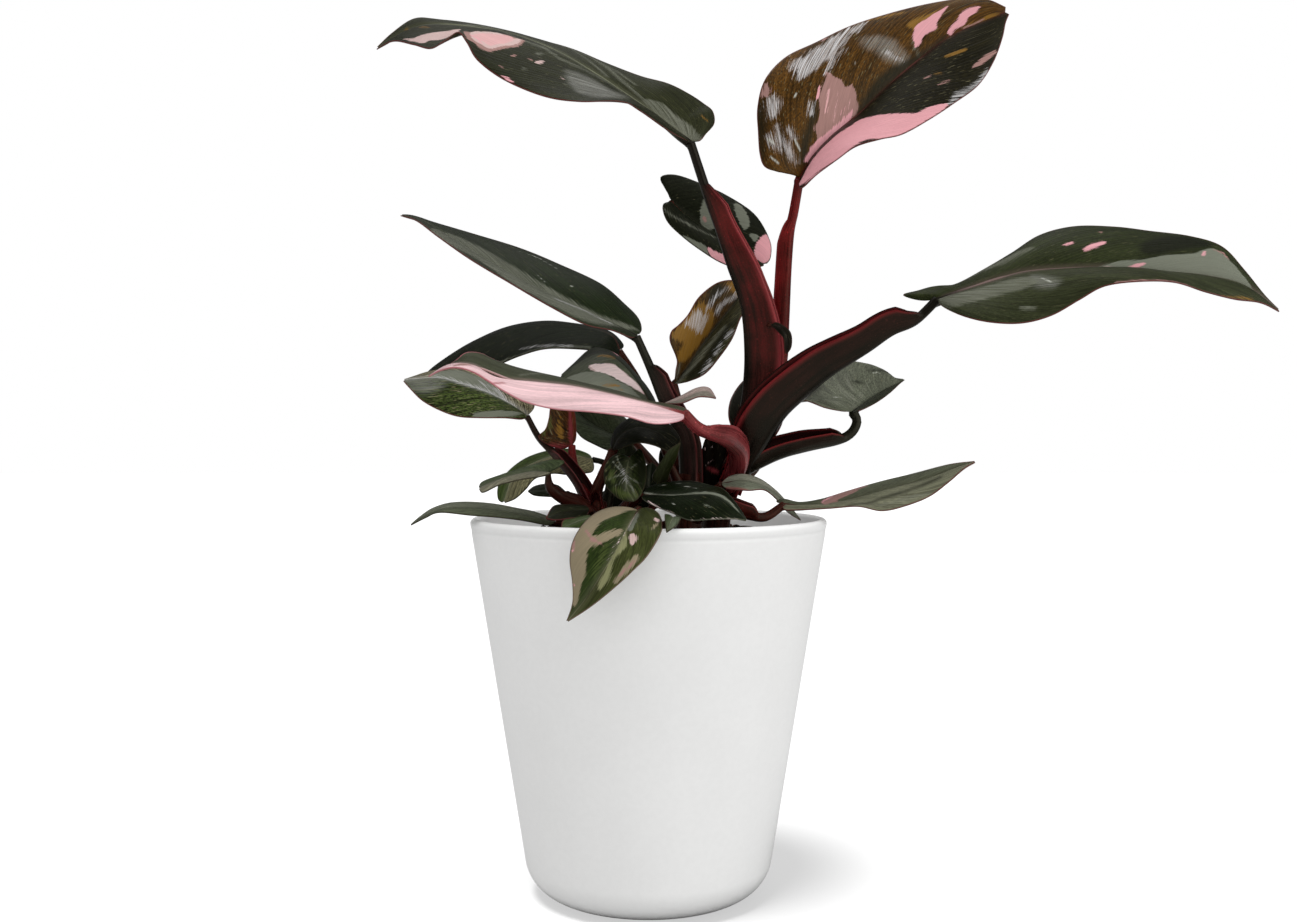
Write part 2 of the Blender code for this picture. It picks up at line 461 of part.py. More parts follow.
def smooth_curve(points, steps):
    """steps + 1 evenly spaced points on a smooth curve through the given ones."""
    given = [Vector(point) for point in points]
    ends = [2 * given[0] - given[1], *given, 2 * given[-1] - given[-2]]
    fine = []
    for before, start, end, after in zip(ends, ends[1:], ends[2:], ends[3:]):
        for step in range(CURVE_DIVISIONS):
            t = step / CURVE_DIVISIONS
            fine.append(0.5 * (2 * start + (end - before) * t
                               + (2 * before - 5 * start + 4 * end - after) * t ** 2
                               + (3 * start - before - 3 * end + after) * t ** 3))
    fine.append(given[-1])
    lengths = [0.0]
    for start, end in zip(fine, fine[1:]):
        lengths.append(lengths[-1] + (end - start).length)
    curve = []
    index = 0
    for step in range(steps + 1):
        wanted = lengths[-1] * step / steps
        while index < len(fine) - 2 and lengths[index + 1] < wanted:
            index += 1
        share = (wanted - lengths[index]) / (lengths[index + 1] - lengths[index])
        curve.append(fine[index].lerp(fine[index + 1], min(share, 1.0)))
    return curve, lengths[-1]


def carried_frames(curve, facing, at):
    """Direction, normal and left of each curve point. The normal turns no more than the curve does, and
    looks as near to `facing` as it can at the share `at` of the curve."""
    along = []
    for index in range(len(curve)):
        before = curve[max(index - 1, 0)]
        after = curve[min(index + 1, len(curve) - 1)]
        along.append((after - before).normalized())
    normals = [Vector(facing)]
    for start, end in zip(along, along[1:]):
        normals.append(start.rotation_difference(end) @ normals[-1])
    middle = round(at * (len(curve) - 1))
    wanted = Vector(facing)
    wanted -= wanted.dot(along[middle]) * along[middle]
    carried = normals[middle] - normals[middle].dot(along[middle]) * along[middle]
    turn = carried.angle(wanted)
    if carried.cross(wanted).dot(along[middle]) < 0:
        turn = -turn
    frames = []
    for direction, normal in zip(along, normals):
        normal = Quaternion(direction, turn) @ normal
        normal = (normal - normal.dot(direction) * direction).normalized()
        frames.append((direction, normal, normal.cross(direction)))
    return frames


def at_share(curve, share):
    """The point at a share of a curve of evenly spaced points."""
    place = min(max(share, 0.0), 1.0) * (len(curve) - 1)
    index = min(int(place), len(curve) - 2)
    return curve[index].lerp(curve[index + 1], place - index)


def blade_surface(rib, left, right, bulge=BULGE):
    """A function that places a point of the blade: u runs from base to tip, v from right to left."""
    middle, length = smooth_curve(rib, RIB_STEPS)
    margins = {}
    for side, margin in ((1, left), (-1, right)):
        margins[side], _ = smooth_curve([rib[0], *margin, rib[-1]], RIB_STEPS)

    def place(u, v):
        share = u ** VEIN_FAN
        on_rib = at_share(middle, share)
        along = (at_share(middle, share + RIB_REACH) - at_share(middle, share - RIB_REACH)).normalized()
        side = 1 if v > 0 else -1
        out = abs(v)
        across = at_share(margins[side], u) - on_rib
        upward = side * along.cross(across)
        return on_rib + across * out + upward * bulge * 4 * out * (1 - out)

    return place, length


def make_blade(name, shape, finish):
    place, length = blade_surface(**shape)
    rows = LONG_ROWS if length > LONG_BLADE else SHORT_ROWS if length > SMALL_BLADE else SMALL_ROWS
    columns = BROAD_COLUMNS if length > BROAD_BLADE else NARROW_COLUMNS
    bm = bmesh.new()
    bmesh.ops.create_grid(bm, x_segments=rows, y_segments=columns, size=0.5)
    for vert in bm.verts:
        vert.co = place(FIRST_ROW + (LAST_ROW - FIRST_ROW) * (vert.co.x + 0.5), 2 * vert.co.y)
    bmesh.ops.triangulate(bm, faces=bm.faces, quad_method="SHORT_EDGE")
    blade = add_object(name, bm, finish)
    skin = blade.modifiers.new("thickness", "SOLIDIFY")
    skin.thickness = BLADE_THICKNESS * MM
    skin.offset = 0
    skin.thickness_clamp = EDGE_CLAMP
    skin.use_thickness_angle_clamp = True
    return blade


def loft(rings):
    """A closed solid through rings that have the same number of points."""
    bm = bmesh.new()
    loops = []
    for ring in rings:
        verts = [bm.verts.new(point) for point in ring]
        loops.append([bm.edges.new((a, b)) for a, b in zip(verts, verts[1:] + verts[:1])])
    for lower, upper in zip(loops, loops[1:]):
        bmesh.ops.bridge_loops(bm, edges=lower + upper)
    for loop in (loops[0], loops[-1]):
        bmesh.ops.contextual_create(bm, geom=loop)
    bmesh.ops.recalc_face_normals(bm, faces=bm.faces)
    return bm


def petiole_section(half_width, wing, opened):
    """Points round a petiole: an ellipse where it is free, a channel with raised wings in its sheath."""
    if not wing:
        return ellipse_points(half_width, FREE_PETIOLE_SIDES)
    points = []
    for x, y_width, y_wing, angle in CHANNEL:
        x *= half_width
        y = y_width * half_width + y_wing * wing
        free_x = half_width * math.cos(math.radians(angle))
        free_y = PETIOLE_FLATNESS * half_width * math.sin(math.radians(angle))
        points.append((free_x + (x - free_x) * opened, free_y + (y - free_y) * opened))
    return points


def ellipse_points(half_width, sides):
    turns = [math.tau * side / sides for side in range(sides)]
    return [(half_width * math.cos(turn), half_width * PETIOLE_FLATNESS * math.sin(turn))
            for turn in turns]


def petiole_rings(path, half, base, wing=0, sheath=0, opens=(0, 0, 1), seat=SEAT):
    """Rings of a petiole that ends rounded, just short of its blade's base."""
    end = Vector(base)
    end -= (end - Vector(path[-1])).normalized() * seat
    curve, length = smooth_curve([*path, end], RIB_STEPS)
    frames = carried_frames(curve, opens, 0.5)
    rows = max(3, round(length / PETIOLE_ROW))
    shares = [row / rows for row in range(rows)] + [1 - 1 / RIB_STEPS, 1]
    if sheath:
        turns = [sheath - SHEATH_END, sheath]
        shares = [share for share in shares if min(abs(share - turn) for turn in turns) > 0.5 / rows]
        shares = sorted(shares + turns)
    rings = []
    for share in shares:
        index = round(share * RIB_STEPS)
        along, up, side = frames[index]
        opened = min(1.0, max(0.0, (sheath - share) / SHEATH_END)) ** SHEATH_ROUNDING
        width = profile(half, share) * (END_SCALE if share == 1 else 1)
        section = petiole_section(width, profile(wing, share), opened)
        rings.append([curve[index] + side * x + up * y for x, y in section])
    return rings


def stem_rings(path, half):
    curve, _ = smooth_curve(path, STEM_STEPS)
    frames = carried_frames(curve, (0, -1, 0), 0)
    rings = []
    for index, (point, (along, up, side)) in enumerate(zip(curve, frames)):
        radius = half * (1 - STEM_TAPER * (index / STEM_STEPS) ** 2)
        rings.append([point + side * radius * math.cos(math.tau * turn / HOLE_SIDES)
                      + up * radius * math.sin(math.tau * turn / HOLE_SIDES) for turn in range(HOLE_SIDES)])
    return rings


def keep_largest_shell(mesh):
    """Removes the small closed shells that a union leaves inside or beside the main one."""
    bm = bmesh.new()
    bm.from_mesh(mesh)
    left_over = set(bm.verts)
    shells = []
    while left_over:
        shell = set()
        reached = [left_over.pop()]
        while reached:
            vert = reached.pop()
            shell.add(vert)
            for edge in vert.link_edges:
                other = edge.other_vert(vert)
                if other in left_over:
                    left_over.remove(other)
                    reached.append(other)
        shells.append(shell)
    largest = max(shells, key=len)
    bmesh.ops.delete(bm, geom=[vert for vert in bm.verts if vert not in largest], context="VERTS")
    bm.to_mesh(mesh)
    bm.free()


def fuse(name, pieces, finish):
    """One solid from overlapping ones, which are then removed."""
    group = bpy.data.collections.new(name + "_pieces")
    bpy.context.scene.collection.children.link(group)
    body, *rest = pieces
    for piece in rest:
        group.objects.link(piece)
        bpy.context.scene.collection.objects.unlink(piece)
    union = body.modifiers.new("union", "BOOLEAN")
    union.operation = "UNION"
    union.operand_type = "COLLECTION"
    union.collection = group
    union.solver = "EXACT"
    graph = bpy.context.evaluated_depsgraph_get()
    mesh = bpy.data.meshes.new_from_object(body.evaluated_get(graph))
    mesh.name = name
    keep_largest_shell(mesh)
    for piece in pieces:
        bpy.data.objects.remove(piece)
    bpy.data.collections.remove(group)
    mesh.materials.clear()
    mesh.materials.append(finish)
    fused = bpy.data.objects.new(name, mesh)
    bpy.context.scene.collection.objects.link(fused)
    return fused


def make_shoot(name, stem, half, petioles, finish):
    pieces = [add_object(name + "_stem", loft(stem_rings(stem, half)))]
    for blade, petiole in petioles.items():
        base = BLADES[blade]["rib"][0]
        pieces.append(add_object(blade + "_petiole", loft(petiole_rings(base=base, **petiole))))
    return fuse(name, pieces, finish)


def arc(center, radius, start, end, steps):
    """Points (radius from the axis, height) on an arc, from one angle to another."""
    points = []
    for step in range(steps + 1):
        angle = math.radians(start + (end - start) * step / steps)
        points.append((center[0] + radius * math.cos(angle), center[1] + radius * math.sin(angle)))
    return points


def turned(outline):
    """A closed solid turned round Z from (radius, height) points that start and end on the axis."""
    bm = bmesh.new()
    verts = [bm.verts.new((radius, 0, height)) for radius, height in outline]
    edges = [bm.edges.new(pair) for pair in zip(verts, verts[1:])]
    bmesh.ops.spin(bm, geom=verts + edges, cent=(0, 0, 0), axis=(0, 0, 1), dvec=(0, 0, 0),
                   angle=math.tau, steps=POT_SIDES, use_merge=True)
    bmesh.ops.remove_doubles(bm, verts=bm.verts, dist=1e-4)
    bmesh.ops.recalc_face_normals(bm, faces=bm.faces)
    return bm


def wall_slope():
    return math.atan((RIM_RADIUS - FOOT_RADIUS) / POT_HEIGHT)


def outer_radius(height):
    return FOOT_RADIUS + math.tan(wall_slope()) * height


def rounding_center(inset, floor, rounding):
    """Centre of the arc that joins the floor to a wall `inset` inside the outer one."""
    height = floor + rounding
    return outer_radius(height) - (inset + rounding) / math.cos(wall_slope()), height


def make_pot(finish):
    slope = math.degrees(wall_slope())
    lip = WALL / 2
    lip_height = POT_HEIGHT - lip
    lip_center = (outer_radius(lip_height) - lip / math.cos(wall_slope()), lip_height)
    outline = [(0, 0)]
    outline += arc(rounding_center(0, 0, FOOT_ROUNDING), FOOT_ROUNDING, -90, -slope, 5)
    outline += arc(lip_center, lip, -slope, 180 - slope, 4)
    outline += arc(rounding_center(WALL, FLOOR, INNER_ROUNDING), INNER_ROUNDING, -slope, -90, 4)
    outline += [(0, FLOOR)]
    return add_object("pot", turned(outline), finish)


def make_soil(finish):
    inset = WALL + GAP
    slope = math.degrees(wall_slope())
    floor = FLOOR + GAP
    outline = [(0, floor)]
    outline += arc(rounding_center(inset, floor, INNER_ROUNDING), INNER_ROUNDING, -90, -slope, 4)
    edge = outer_radius(SOIL_TOP) - inset / math.cos(wall_slope())
    outline += [(edge * (1 - ring / SOIL_RINGS), SOIL_TOP) for ring in range(SOIL_RINGS + 1)]
    bm = turned(outline)
    for vert in bm.verts:
        radius = math.hypot(vert.co.x, vert.co.y)
        if vert.co.z > SOIL_TOP - 1 and radius < edge - 1:
            vert.co.z += SOIL_BUMP * math.sin(vert.co.x * BUMP_PER_MM) * math.cos(vert.co.y * BUMP_PER_MM)
    soil = add_object("soil", bm, finish)
    for name, shoot in SHOOTS.items():
        foot = Vector(shoot["stem"][0])
        radius = (shoot["half"] + GAP) * MM
        bm = bmesh.new()
        bmesh.ops.create_cone(bm, cap_ends=True, segments=HOLE_SIDES, radius1=radius, radius2=radius,
                              depth=2 * HOLE_DEPTH * MM)
        mesh = bpy.data.meshes.new(name + "_hole")
        bm.to_mesh(mesh)
        bm.free()
        cutter = bpy.data.objects.new(name + "_hole", mesh)
        cutter.location = (foot.x * MM, foot.y * MM, (foot.z - GAP + HOLE_DEPTH) * MM)
        cutter.hide_render = True
        cutter.display_type = "WIRE"
        bpy.context.scene.collection.objects.link(cutter)
        hole = soil.modifiers.new(name + "_hole", "BOOLEAN")
        hole.operation = "DIFFERENCE"
        hole.object = cutter
        hole.solver = "EXACT"
    return soil


def main():
    clear_scene()
    make_pot(material("glazed_white", (0.84, 0.84, 0.83), 0.3))
    make_soil(material("dark_soil", (0.03, 0.02, 0.015), 0.9))
    petiole_skin = material("burgundy_stem", (0.07, 0.01, 0.012), 0.4)
    leaf_skin = material("dark_green_leaf", (0.02, 0.035, 0.018), 0.35)
    for name, shape in BLADES.items():
        make_blade(name, shape, leaf_skin)
    for name, shoot in SHOOTS.items():
        make_shoot(name, finish=petiole_skin, **shoot)


main()
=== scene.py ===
"""Looks of a potted pink princess philodendron: blades with a rib, veins, markings and painted reflections,
highlights and shade, petioles with open sheaths, loose soil and a glazed pot. Shapes are in millimetres,
marks in the photo's pixels."""

import math

import bmesh
import bpy
import numpy as np
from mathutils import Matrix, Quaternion, Vector, noise


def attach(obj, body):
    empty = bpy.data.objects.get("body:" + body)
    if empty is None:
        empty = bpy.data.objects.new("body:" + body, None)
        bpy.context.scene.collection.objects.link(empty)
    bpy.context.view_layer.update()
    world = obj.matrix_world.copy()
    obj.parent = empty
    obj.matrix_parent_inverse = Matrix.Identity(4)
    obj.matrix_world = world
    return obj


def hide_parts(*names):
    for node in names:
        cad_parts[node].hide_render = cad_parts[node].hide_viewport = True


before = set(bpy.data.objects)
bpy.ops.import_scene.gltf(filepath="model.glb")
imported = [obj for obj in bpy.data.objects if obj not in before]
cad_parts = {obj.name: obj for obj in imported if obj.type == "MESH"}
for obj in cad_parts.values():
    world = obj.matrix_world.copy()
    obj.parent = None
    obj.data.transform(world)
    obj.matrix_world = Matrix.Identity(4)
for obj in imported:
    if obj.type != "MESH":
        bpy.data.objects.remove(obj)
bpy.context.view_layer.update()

MM = 0.001
FAR = 1e9

# Camera: its place, how far it looks down in degrees, and its focal length and middle in pixels
CAMERA_PLACE = (0.0, -590.0, 193.5)
CAMERA_TILT = 1.15
FOCAL_LENGTH = 1400.0
PHOTO_MIDDLE = (648.5, 461.0)
PHOTO_WIDTH = 1297
SENSOR_WIDTH = 36
CLIP_RANGE = (0.01, 50)

# Lamps: place and target in metres, and size
KEY = ((1.9, -1.2, 1.1), (0, 0, 0.15), (2.2, 2.2))
TOP = ((-0.1, 0.4, 1.9), (0, 0, 0.2), (1.6, 1.6))
FILL = ((-0.1, -0.7, 1.6), (0, 0, 0.15), (0.8, 0.8))
LAMPS = [("key", *KEY, 22), ("top", *TOP, 7)]
POT_LAMPS = [("pot_key", *KEY, 18.5), ("pot_top", *TOP, 7), ("pot_fill", *FILL, 6)]

# Sun: its power, how wide it is in degrees, and the way its light goes
SUN_POWER = 12.6
SUN_ANGLE = 24
SUN_SHIFT = (25, 38, -158)

# Light from all round on matt surfaces and in gloss, and the floor
WORLD_LIGHT = 0.8
GLOSS_LIGHT = 0.12
FLOOR_HALF_SIZE = 6000
FLOOR_COLOR = (0.15, 0.15, 0.15)
FLOOR_BOUNCE = (102, 102, 102)
FLOOR_GLOW = 0.56

# Pot and soil. A crumb's size is from smallest to largest, and its dents are factors of its radius.
RIM_RADIUS = 75.0
POT_HEIGHT = 158.0
FOOT_RADIUS = 49.6
FOOT_ROUNDING = 17.5
WALL = 4.0
FLOOR = 5.0
INNER_ROUNDING = 13.0
POT_SIDES = 160
FOOT_STEPS = 20
LIP_STEPS = 12
INNER_STEPS = 10
SOIL_TOP = 150.5
SOIL_GAP = 0.4
SOIL_STEP = 1.4
SOIL_SIDES = 180
SOIL_CORNER_STEPS = 6
SOIL_EDGE = 3
CRUMBS = 420
CRUMB_SIZES = (0.6, 1.9)
CRUMB_DENTS = (0.75, 1.25)
CRUMB_FLATNESS = 0.7
CRUMB_RISE = 0.25
CRUMB_SEED = 7
CRUMB_MARGIN = 4

# The pot's wall between foot and lip, as heights and how deep the line under the lip is cut there
WALL_ROWS = [(60, 0), (100, 0), (152, 0), (153, 0.1), (153.5, 0.25), (154, 0.1), (154.6, 0)]

# Waves of the loose soil: height and length
SOIL_WAVES = [(1.3, 22), (0.9, 7), (0.5, 2.6)]

# Blades
RIB_STEPS = 240
RIB_REACH = 0.02
FIRST_ROW = 0.02
LAST_ROW = 0.985
BLADE_THICKNESS = 0.8
EDGE_THICKNESS = 0.45
EDGE_TAPER = 4
BULGE = 0.1
VEIN_FAN = 1.5
VEIN_LEAN = 0.4
BLADE_STEP = 0.75
LEAST_ROWS = 24
LEAST_COLUMNS = 8
RIB_DEPTH = 0.3
RIB_HALF_WIDTH = 1.1
RIB_DEEPENS = (1.5, 6)
MARK_REACH = 6.0
HALVES_APART = 50

# Spots of a blade that a mark's points may lie on: how many in its length and in its half width, and the
# steps of the half width to which they are rounded
SPOTS_ALONG = 100
SPOTS_ACROSS = 40
KEPT_ACROSS = 50

# Petioles, stems, and the ribs under the blades
END_SCALE = 0.8
RIB_SIDES = 14
RIB_ROWS = 70
RIB_SINK = 0.6
RIB_START = 2.5
RIB_SHARES = (0, 0.04, 0.1, 0.2, 0.35, 0.5, 0.65, 0.8, 0.92)
NECK_TAPER = 0.55
NECK_END = 0.3
TIP_TAPER = 0.75
SHEATH_END = 0.075
SHEATH_ROUNDING = 0.6
SHEATH_ROWS = 6
PETIOLE_ROW = 1.6
LEAST_PETIOLE_ROWS = 6
PETIOLE_FLATNESS = 0.85
CURVE_DIVISIONS = 16
RING_DIVISIONS = 4
STEM_SIDES = 32
STEM_STEPS = 24
STEM_TAPER = 0.25
STEM_END = 0.6

# A sheath's section. Each point: x in half widths, y in half widths, y in wing heights, and the angle of
# the point that it becomes where the petiole is free.
CHANNEL = [
    (0.85, 0, 1, 50),
    (1.05, 0, 0.3, 10),
    (0.8, -0.5, 0, -40),
    (0, -0.85, 0, -90),
    (-0.8, -0.5, 0, -140),
    (-1.05, 0, 0.3, -170),
    (-0.85, 0, 1, 130),
    (-0.6, 0, 0.4, 108),
    (0, 0, 0.15, 90),
    (0.6, 0, 0.4, 72),
]

# Each blade: points of its midrib from base to tip, and points of its margin between base and tip on the
# left and on the right, looking towards the tip with the upper face up.
BLADES = {
    "top_left_blade": dict(
        rib=[(17.5, -4, 314.5), (4.5, -10, 323.5), (-7, -13, 331), (-20, -16, 339), (-36, -18, 348),
             (-54, -18, 355), (-75, -15, 359.5), (-95, -11, 360.5), (-114, -8, 351)],
        left=[(8, -20, 316), (-3.5, -31, 321.5), (-11, -36, 324), (-27, -40, 323), (-40.5, -42, 324.5),
              (-56, -41, 331), (-67, -38, 339.5), (-72, -33, 348), (-76, -29, 353), (-81, -30, 349.5),
              (-86.5, -31, 346), (-94.5, -26, 349), (-104.5, -16, 353)],
        right=[(21.5, -3, 315.5), (24.5, 4, 320), (28, 10, 325.5), (27.5, 14, 331.5), (24, 16, 335),
               (18, 14, 338.5), (8.5, 9, 342), (-3.5, 4, 344), (-18, 0, 348.5), (-30.5, -3, 353),
               (-41.5, -4, 356), (-58, -2, 360.5), (-74.5, -2, 364), (-87, -3, 365.5), (-97, -5, 365.5),
               (-106, -7, 359)],
        bulge=0.04),
    "top_right_blade": dict(
        rib=[(64, 6, 301), (69.5, 7, 310.5), (78, 9, 320), (90, 13, 330), (102, 16, 342), (114, 19, 352.5),
             (128.5, 21, 364), (142, 22, 371), (157.5, 22, 377)],
        left=[(61, 4, 303.5), (54.5, 2, 303.5), (49, 2, 305.5), (47, 4, 311), (46.5, 7, 321),
              (46.5, 10, 332.5), (50, 14, 345), (59, 18, 355.5), (72.5, 22, 363), (88, 25, 371),
              (106, 28, 377.5), (123.5, 29, 382), (139, 28, 384), (148, 25, 382.5), (153.5, 23, 379.5)],
        right=[(64.5, 2, 296.5), (70.5, -2, 301.5), (78.5, -6, 307), (86, -8, 312), (96, -8, 315),
               (105.5, -6, 317.5), (117.5, -2, 324.5), (129, 3, 332.5), (140.5, 9, 341.5), (148, 14, 352.5),
               (153, 19, 364), (155, 21, 371.5)]),
    "right_blade": dict(
        rib=[(117, -22, 247.5), (125.5, -25, 250.5), (136.5, -29, 254), (149.5, -32, 257.5),
             (166.5, -35, 258.5), (186, -37, 258.5), (203, -38, 257), (219, -38, 255.5),
             (234.5, -38, 251.5), (249, -40, 240)],
        left=[(111, -18, 247.5), (104.5, -14, 250), (111, -12, 252), (117, -14, 253.5), (125, -18, 254),
              (136.5, -20, 260), (147.5, -20, 266.5), (159.5, -18, 274), (173.5, -18, 277.5),
              (189.5, -20, 277), (203, -22, 275), (218, -25, 272.5), (229.5, -28, 268), (236.5, -33, 258),
              (243, -37, 247.5)],
        right=[(118, -28, 244), (123.5, -38, 239.5), (133, -44, 236.5), (145, -46, 236), (156.5, -46, 239),
               (167, -47, 245), (176, -49, 250), (188.5, -52, 251.5), (201.5, -53, 251),
               (213.5, -52, 247.5), (226.5, -48, 245), (239, -43, 244)]),
    "behind_blade": dict(
        rib=[(10.5, 60, 300.5), (19, 60, 293), (30.5, 58, 285.5), (42, 55, 278), (53.5, 51, 270)],
        left=[(8.5, 62, 306), (5.5, 62, 312), (12.5, 64, 313.5), (24, 66, 310), (37, 66, 304),
              (49.5, 64, 295), (56, 59, 282.5), (56, 54, 274)],
        right=[(6.5, 56, 298), (8.5, 54, 290.5), (15.5, 51, 283), (24.5, 49, 276), (33.5, 48, 270.5),
               (44, 48, 267.5)]),
    "golden_blade": dict(
        rib=[(11, 16, 214.5), (16.5, 19, 221.5), (22.5, 22, 230.5), (29, 26, 239.5), (36, 30, 248.5),
             (44.5, 35, 260)],
        left=[(11.6, 12, 220), (12.2, 11, 225), (9.2, 9, 232.5), (9.8, 10, 237), (13, 12, 240),
              (17, 15, 244.5), (21.5, 18, 252), (28, 23, 258), (33.5, 27, 260.5), (39.8, 32, 261)],
        right=[(17, 13, 215.5), (24.5, 12, 219), (31, 15, 226.5), (36.5, 19, 234.5), (40.5, 24, 244),
               (45, 30, 252)]),
    "left_blade": dict(
        rib=[(-5, -10, 233.5), (-15, -13, 238.5), (-28, -15, 244.5), (-42.5, -16, 251), (-57, -13, 259),
             (-75.5, -7, 270.5), (-94, 1, 282), (-106.5, 6, 286)],
        left=[(-7.5, -16, 232.5), (-15, -22, 235), (-25.5, -27, 237), (-39.5, -30, 244),
              (-55.5, -27, 253.5), (-72.5, -20, 264), (-87, -10, 274.5), (-97.5, -1, 282.5)],
        right=[(-3, -4, 236.5), (-4.5, 2, 242), (-10, 6, 248), (-20.5, 8, 257), (-37.5, 8, 265),
               (-54.5, 8, 272), (-74, 8, 278), (-91, 8, 283), (-100.5, 8, 286)],
        bulge=0.06),
    "arching_blade": dict(
        rib=[(-13, 40, 230.5), (-16.5, 44, 237.5), (-26.5, 47, 241), (-42.5, 49, 243), (-60.5, 48, 241),
             (-78.5, 44, 234), (-93, 36, 223.5), (-101, 30, 215)],
        left=[(-14.5, 34, 228), (-21.5, 30, 229.5), (-32.5, 28, 230.5), (-45.5, 28, 230.5),
              (-56.5, 28, 227.5), (-67.5, 28, 223), (-81, 28, 218.5), (-92, 28, 216)],
        right=[(-11.5, 50, 233.5), (-15.5, 58, 238.5), (-22.5, 62, 242), (-36.5, 64, 244.5),
               (-50.5, 64, 245.5), (-66.5, 62, 242.5), (-82, 56, 235), (-93, 48, 227), (-99, 40, 221)],
        bulge=0.03),
    "speckled_blade": dict(
        rib=[(-50.5, -8, 200.5), (-56.5, -10, 205), (-64.5, -13, 209.5), (-74, -15, 213), (-85.5, -17, 216),
             (-100.5, -18, 215)],
        left=[(-52, -14, 199), (-58.5, -20, 199.5), (-68, -24, 199.5), (-76.5, -26, 200), (-84, -26, 202.5),
              (-91.5, -24, 206.5), (-97, -21, 211.5)],
        right=[(-48, -2, 204.5), (-50, 4, 209), (-56.5, 5, 214), (-67, 4, 219), (-79.5, 0, 221),
               (-90.5, -8, 219), (-97, -14, 216.5)]),
    "pink_blade": dict(
        rib=[(13.5, -48, 201), (0.5, -58, 204.5), (-12.5, -68, 207.5), (-27, -75, 210.5), (-41.5, -79, 212),
             (-54, -80, 213), (-63.5, -80, 218), (-72.5, -78, 218.5), (-82, -75, 213.5)],
        left=[(13, -52, 198.5), (7.5, -60, 197), (0.5, -68, 197), (-8.5, -77, 199.5), (-20.5, -85, 201),
              (-33.5, -90, 202), (-44, -92, 204.5), (-51, -91, 208), (-57.5, -89, 212), (-63.5, -87, 215.5),
              (-70, -84, 217), (-76, -80, 216)],
        right=[(14.5, -42, 203), (6.5, -42, 205), (-3.5, -46, 206.5), (-14.5, -54, 210), (-26, -60, 212.5),
               (-37, -64, 215), (-48, -66, 217.5), (-57, -68, 220.5), (-62.5, -70, 223), (-67.5, -72, 223),
               (-71, -74, 220), (-76.5, -75, 216.5)],
        bulge=0.04),
    "hooded_blade": dict(
        rib=[(0.5, 10, 206), (-3.5, 11, 213), (-9, 11, 220.5), (-15.5, 11, 226), (-22, 9, 227),
             (-29, 5, 223.5), (-37, 0, 217.5)],
        left=[(-1.5, 2, 203), (-8.5, -8, 205.5), (-18, -12, 208.5), (-27.5, -12, 210.5), (-34.5, -8, 213)],
        right=[(3, 20, 207), (-1, 26, 214), (-7.5, 30, 221), (-14.5, 31, 228), (-21.5, 29, 231),
               (-26.5, 24, 229.5), (-32, 14, 223.5)],
        bulge=0.05),
    "shaded_blade": dict(
        rib=[(-6.5, 24, 189.5), (-16, 27, 193), (-25, 30, 197.5), (-34, 33, 204.5)],
        left=[(-8, 20, 186.5), (-16, 18, 185.5), (-23.5, 17, 188.5), (-29.5, 18, 192), (-33, 22, 197.5)],
        right=[(-6.5, 30, 195), (-12, 36, 201.5), (-22, 40, 208.5), (-31, 40, 209)]),
    "tucked_blade": dict(
        rib=[(-14.5, -22, 186.5), (-11.5, -27, 192), (-5, -31, 195.5), (3, -33, 194), (11.5, -34, 188.5)],
        left=[(-15, -16, 190.5), (-11.5, -14, 197), (-2.5, -16, 201), (7, -22, 198), (12.5, -29, 191.5)],
        right=[(-11.5, -30, 187), (-4, -40, 189.5), (2.5, -42, 188.5), (8.5, -40, 186)]),
    "right_middle_blade": dict(
        rib=[(86.5, 2, 202.5), (94, 14, 207), (102, 28, 211), (110, 42, 214.5), (118, 54, 218)],
        left=[(81.5, -2, 202.5), (73.5, -5, 204), (65, -4, 207), (58, 2, 205.5), (58, 12, 208),
              (65.5, 24, 214), (76.5, 34, 221), (88.5, 42, 225.5), (99, 48, 225), (106, 53, 223),
              (110.5, 55, 219)],
        right=[(90, 4, 203), (98.5, 16, 206.5), (107, 32, 211), (114, 47, 215.5)]),
    "low_right_blade": dict(
        rib=[(56, -14, 164), (62.5, -15, 163.5), (72.5, -17, 164), (84, -21, 167), (97, -27, 171),
             (110, -33, 175), (121, -38, 179.5), (129, -42, 182.5)],
        left=[(53, -10, 165), (56, -8, 166), (63, -9, 164.5), (72, -10, 166), (82.5, -12, 169.5),
              (95, -17, 173.5), (107, -25, 177), (119.5, -35, 181)],
        right=[(55.5, -18, 162), (61.5, -20, 162), (73.5, -25, 163), (84, -30, 164), (92.5, -35, 162.5),
               (101, -38, 164.5), (110.5, -40, 168.5), (118, -42, 174.5), (123.5, -43, 179.5)]),
    "striped_blade": dict(
        rib=[(30, -15, 172.5), (38, -18, 174), (47, -14, 171.5), (56, -5, 165.5), (65, 4, 156)],
        left=[(33.5, -13, 175.5), (39.5, -14, 176.5), (47, -9, 174), (54, 0, 168.5), (60, 4, 161.5)],
        right=[(32.5, -19, 170.5), (40.5, -22, 170), (47.5, -18, 170), (53.5, -10, 165.5), (58.5, -2, 160)]),
    "front_blade": dict(
        rib=[(-2, -42, 169), (5, -47, 169.5), (16, -53, 170), (24, -57, 170), (30, -60, 167),
             (37.5, -60, 160)],
        left=[(0, -38, 172), (7.5, -38, 174), (16.5, -41, 174.5), (24, -45, 173), (29, -49, 171.5),
              (33.5, -54, 166.5)],
        right=[(-2, -47, 167.5), (3, -54, 165), (9, -60, 163), (15.5, -64, 160.5), (24, -66, 161),
               (32, -64, 161)]),
    "hanging_blade": dict(
        rib=[(-4, -60, 164), (-7, -74, 160), (-10.5, -84, 153), (-16, -87, 144), (-22.5, -86, 134),
             (-30, -84, 124.5)],
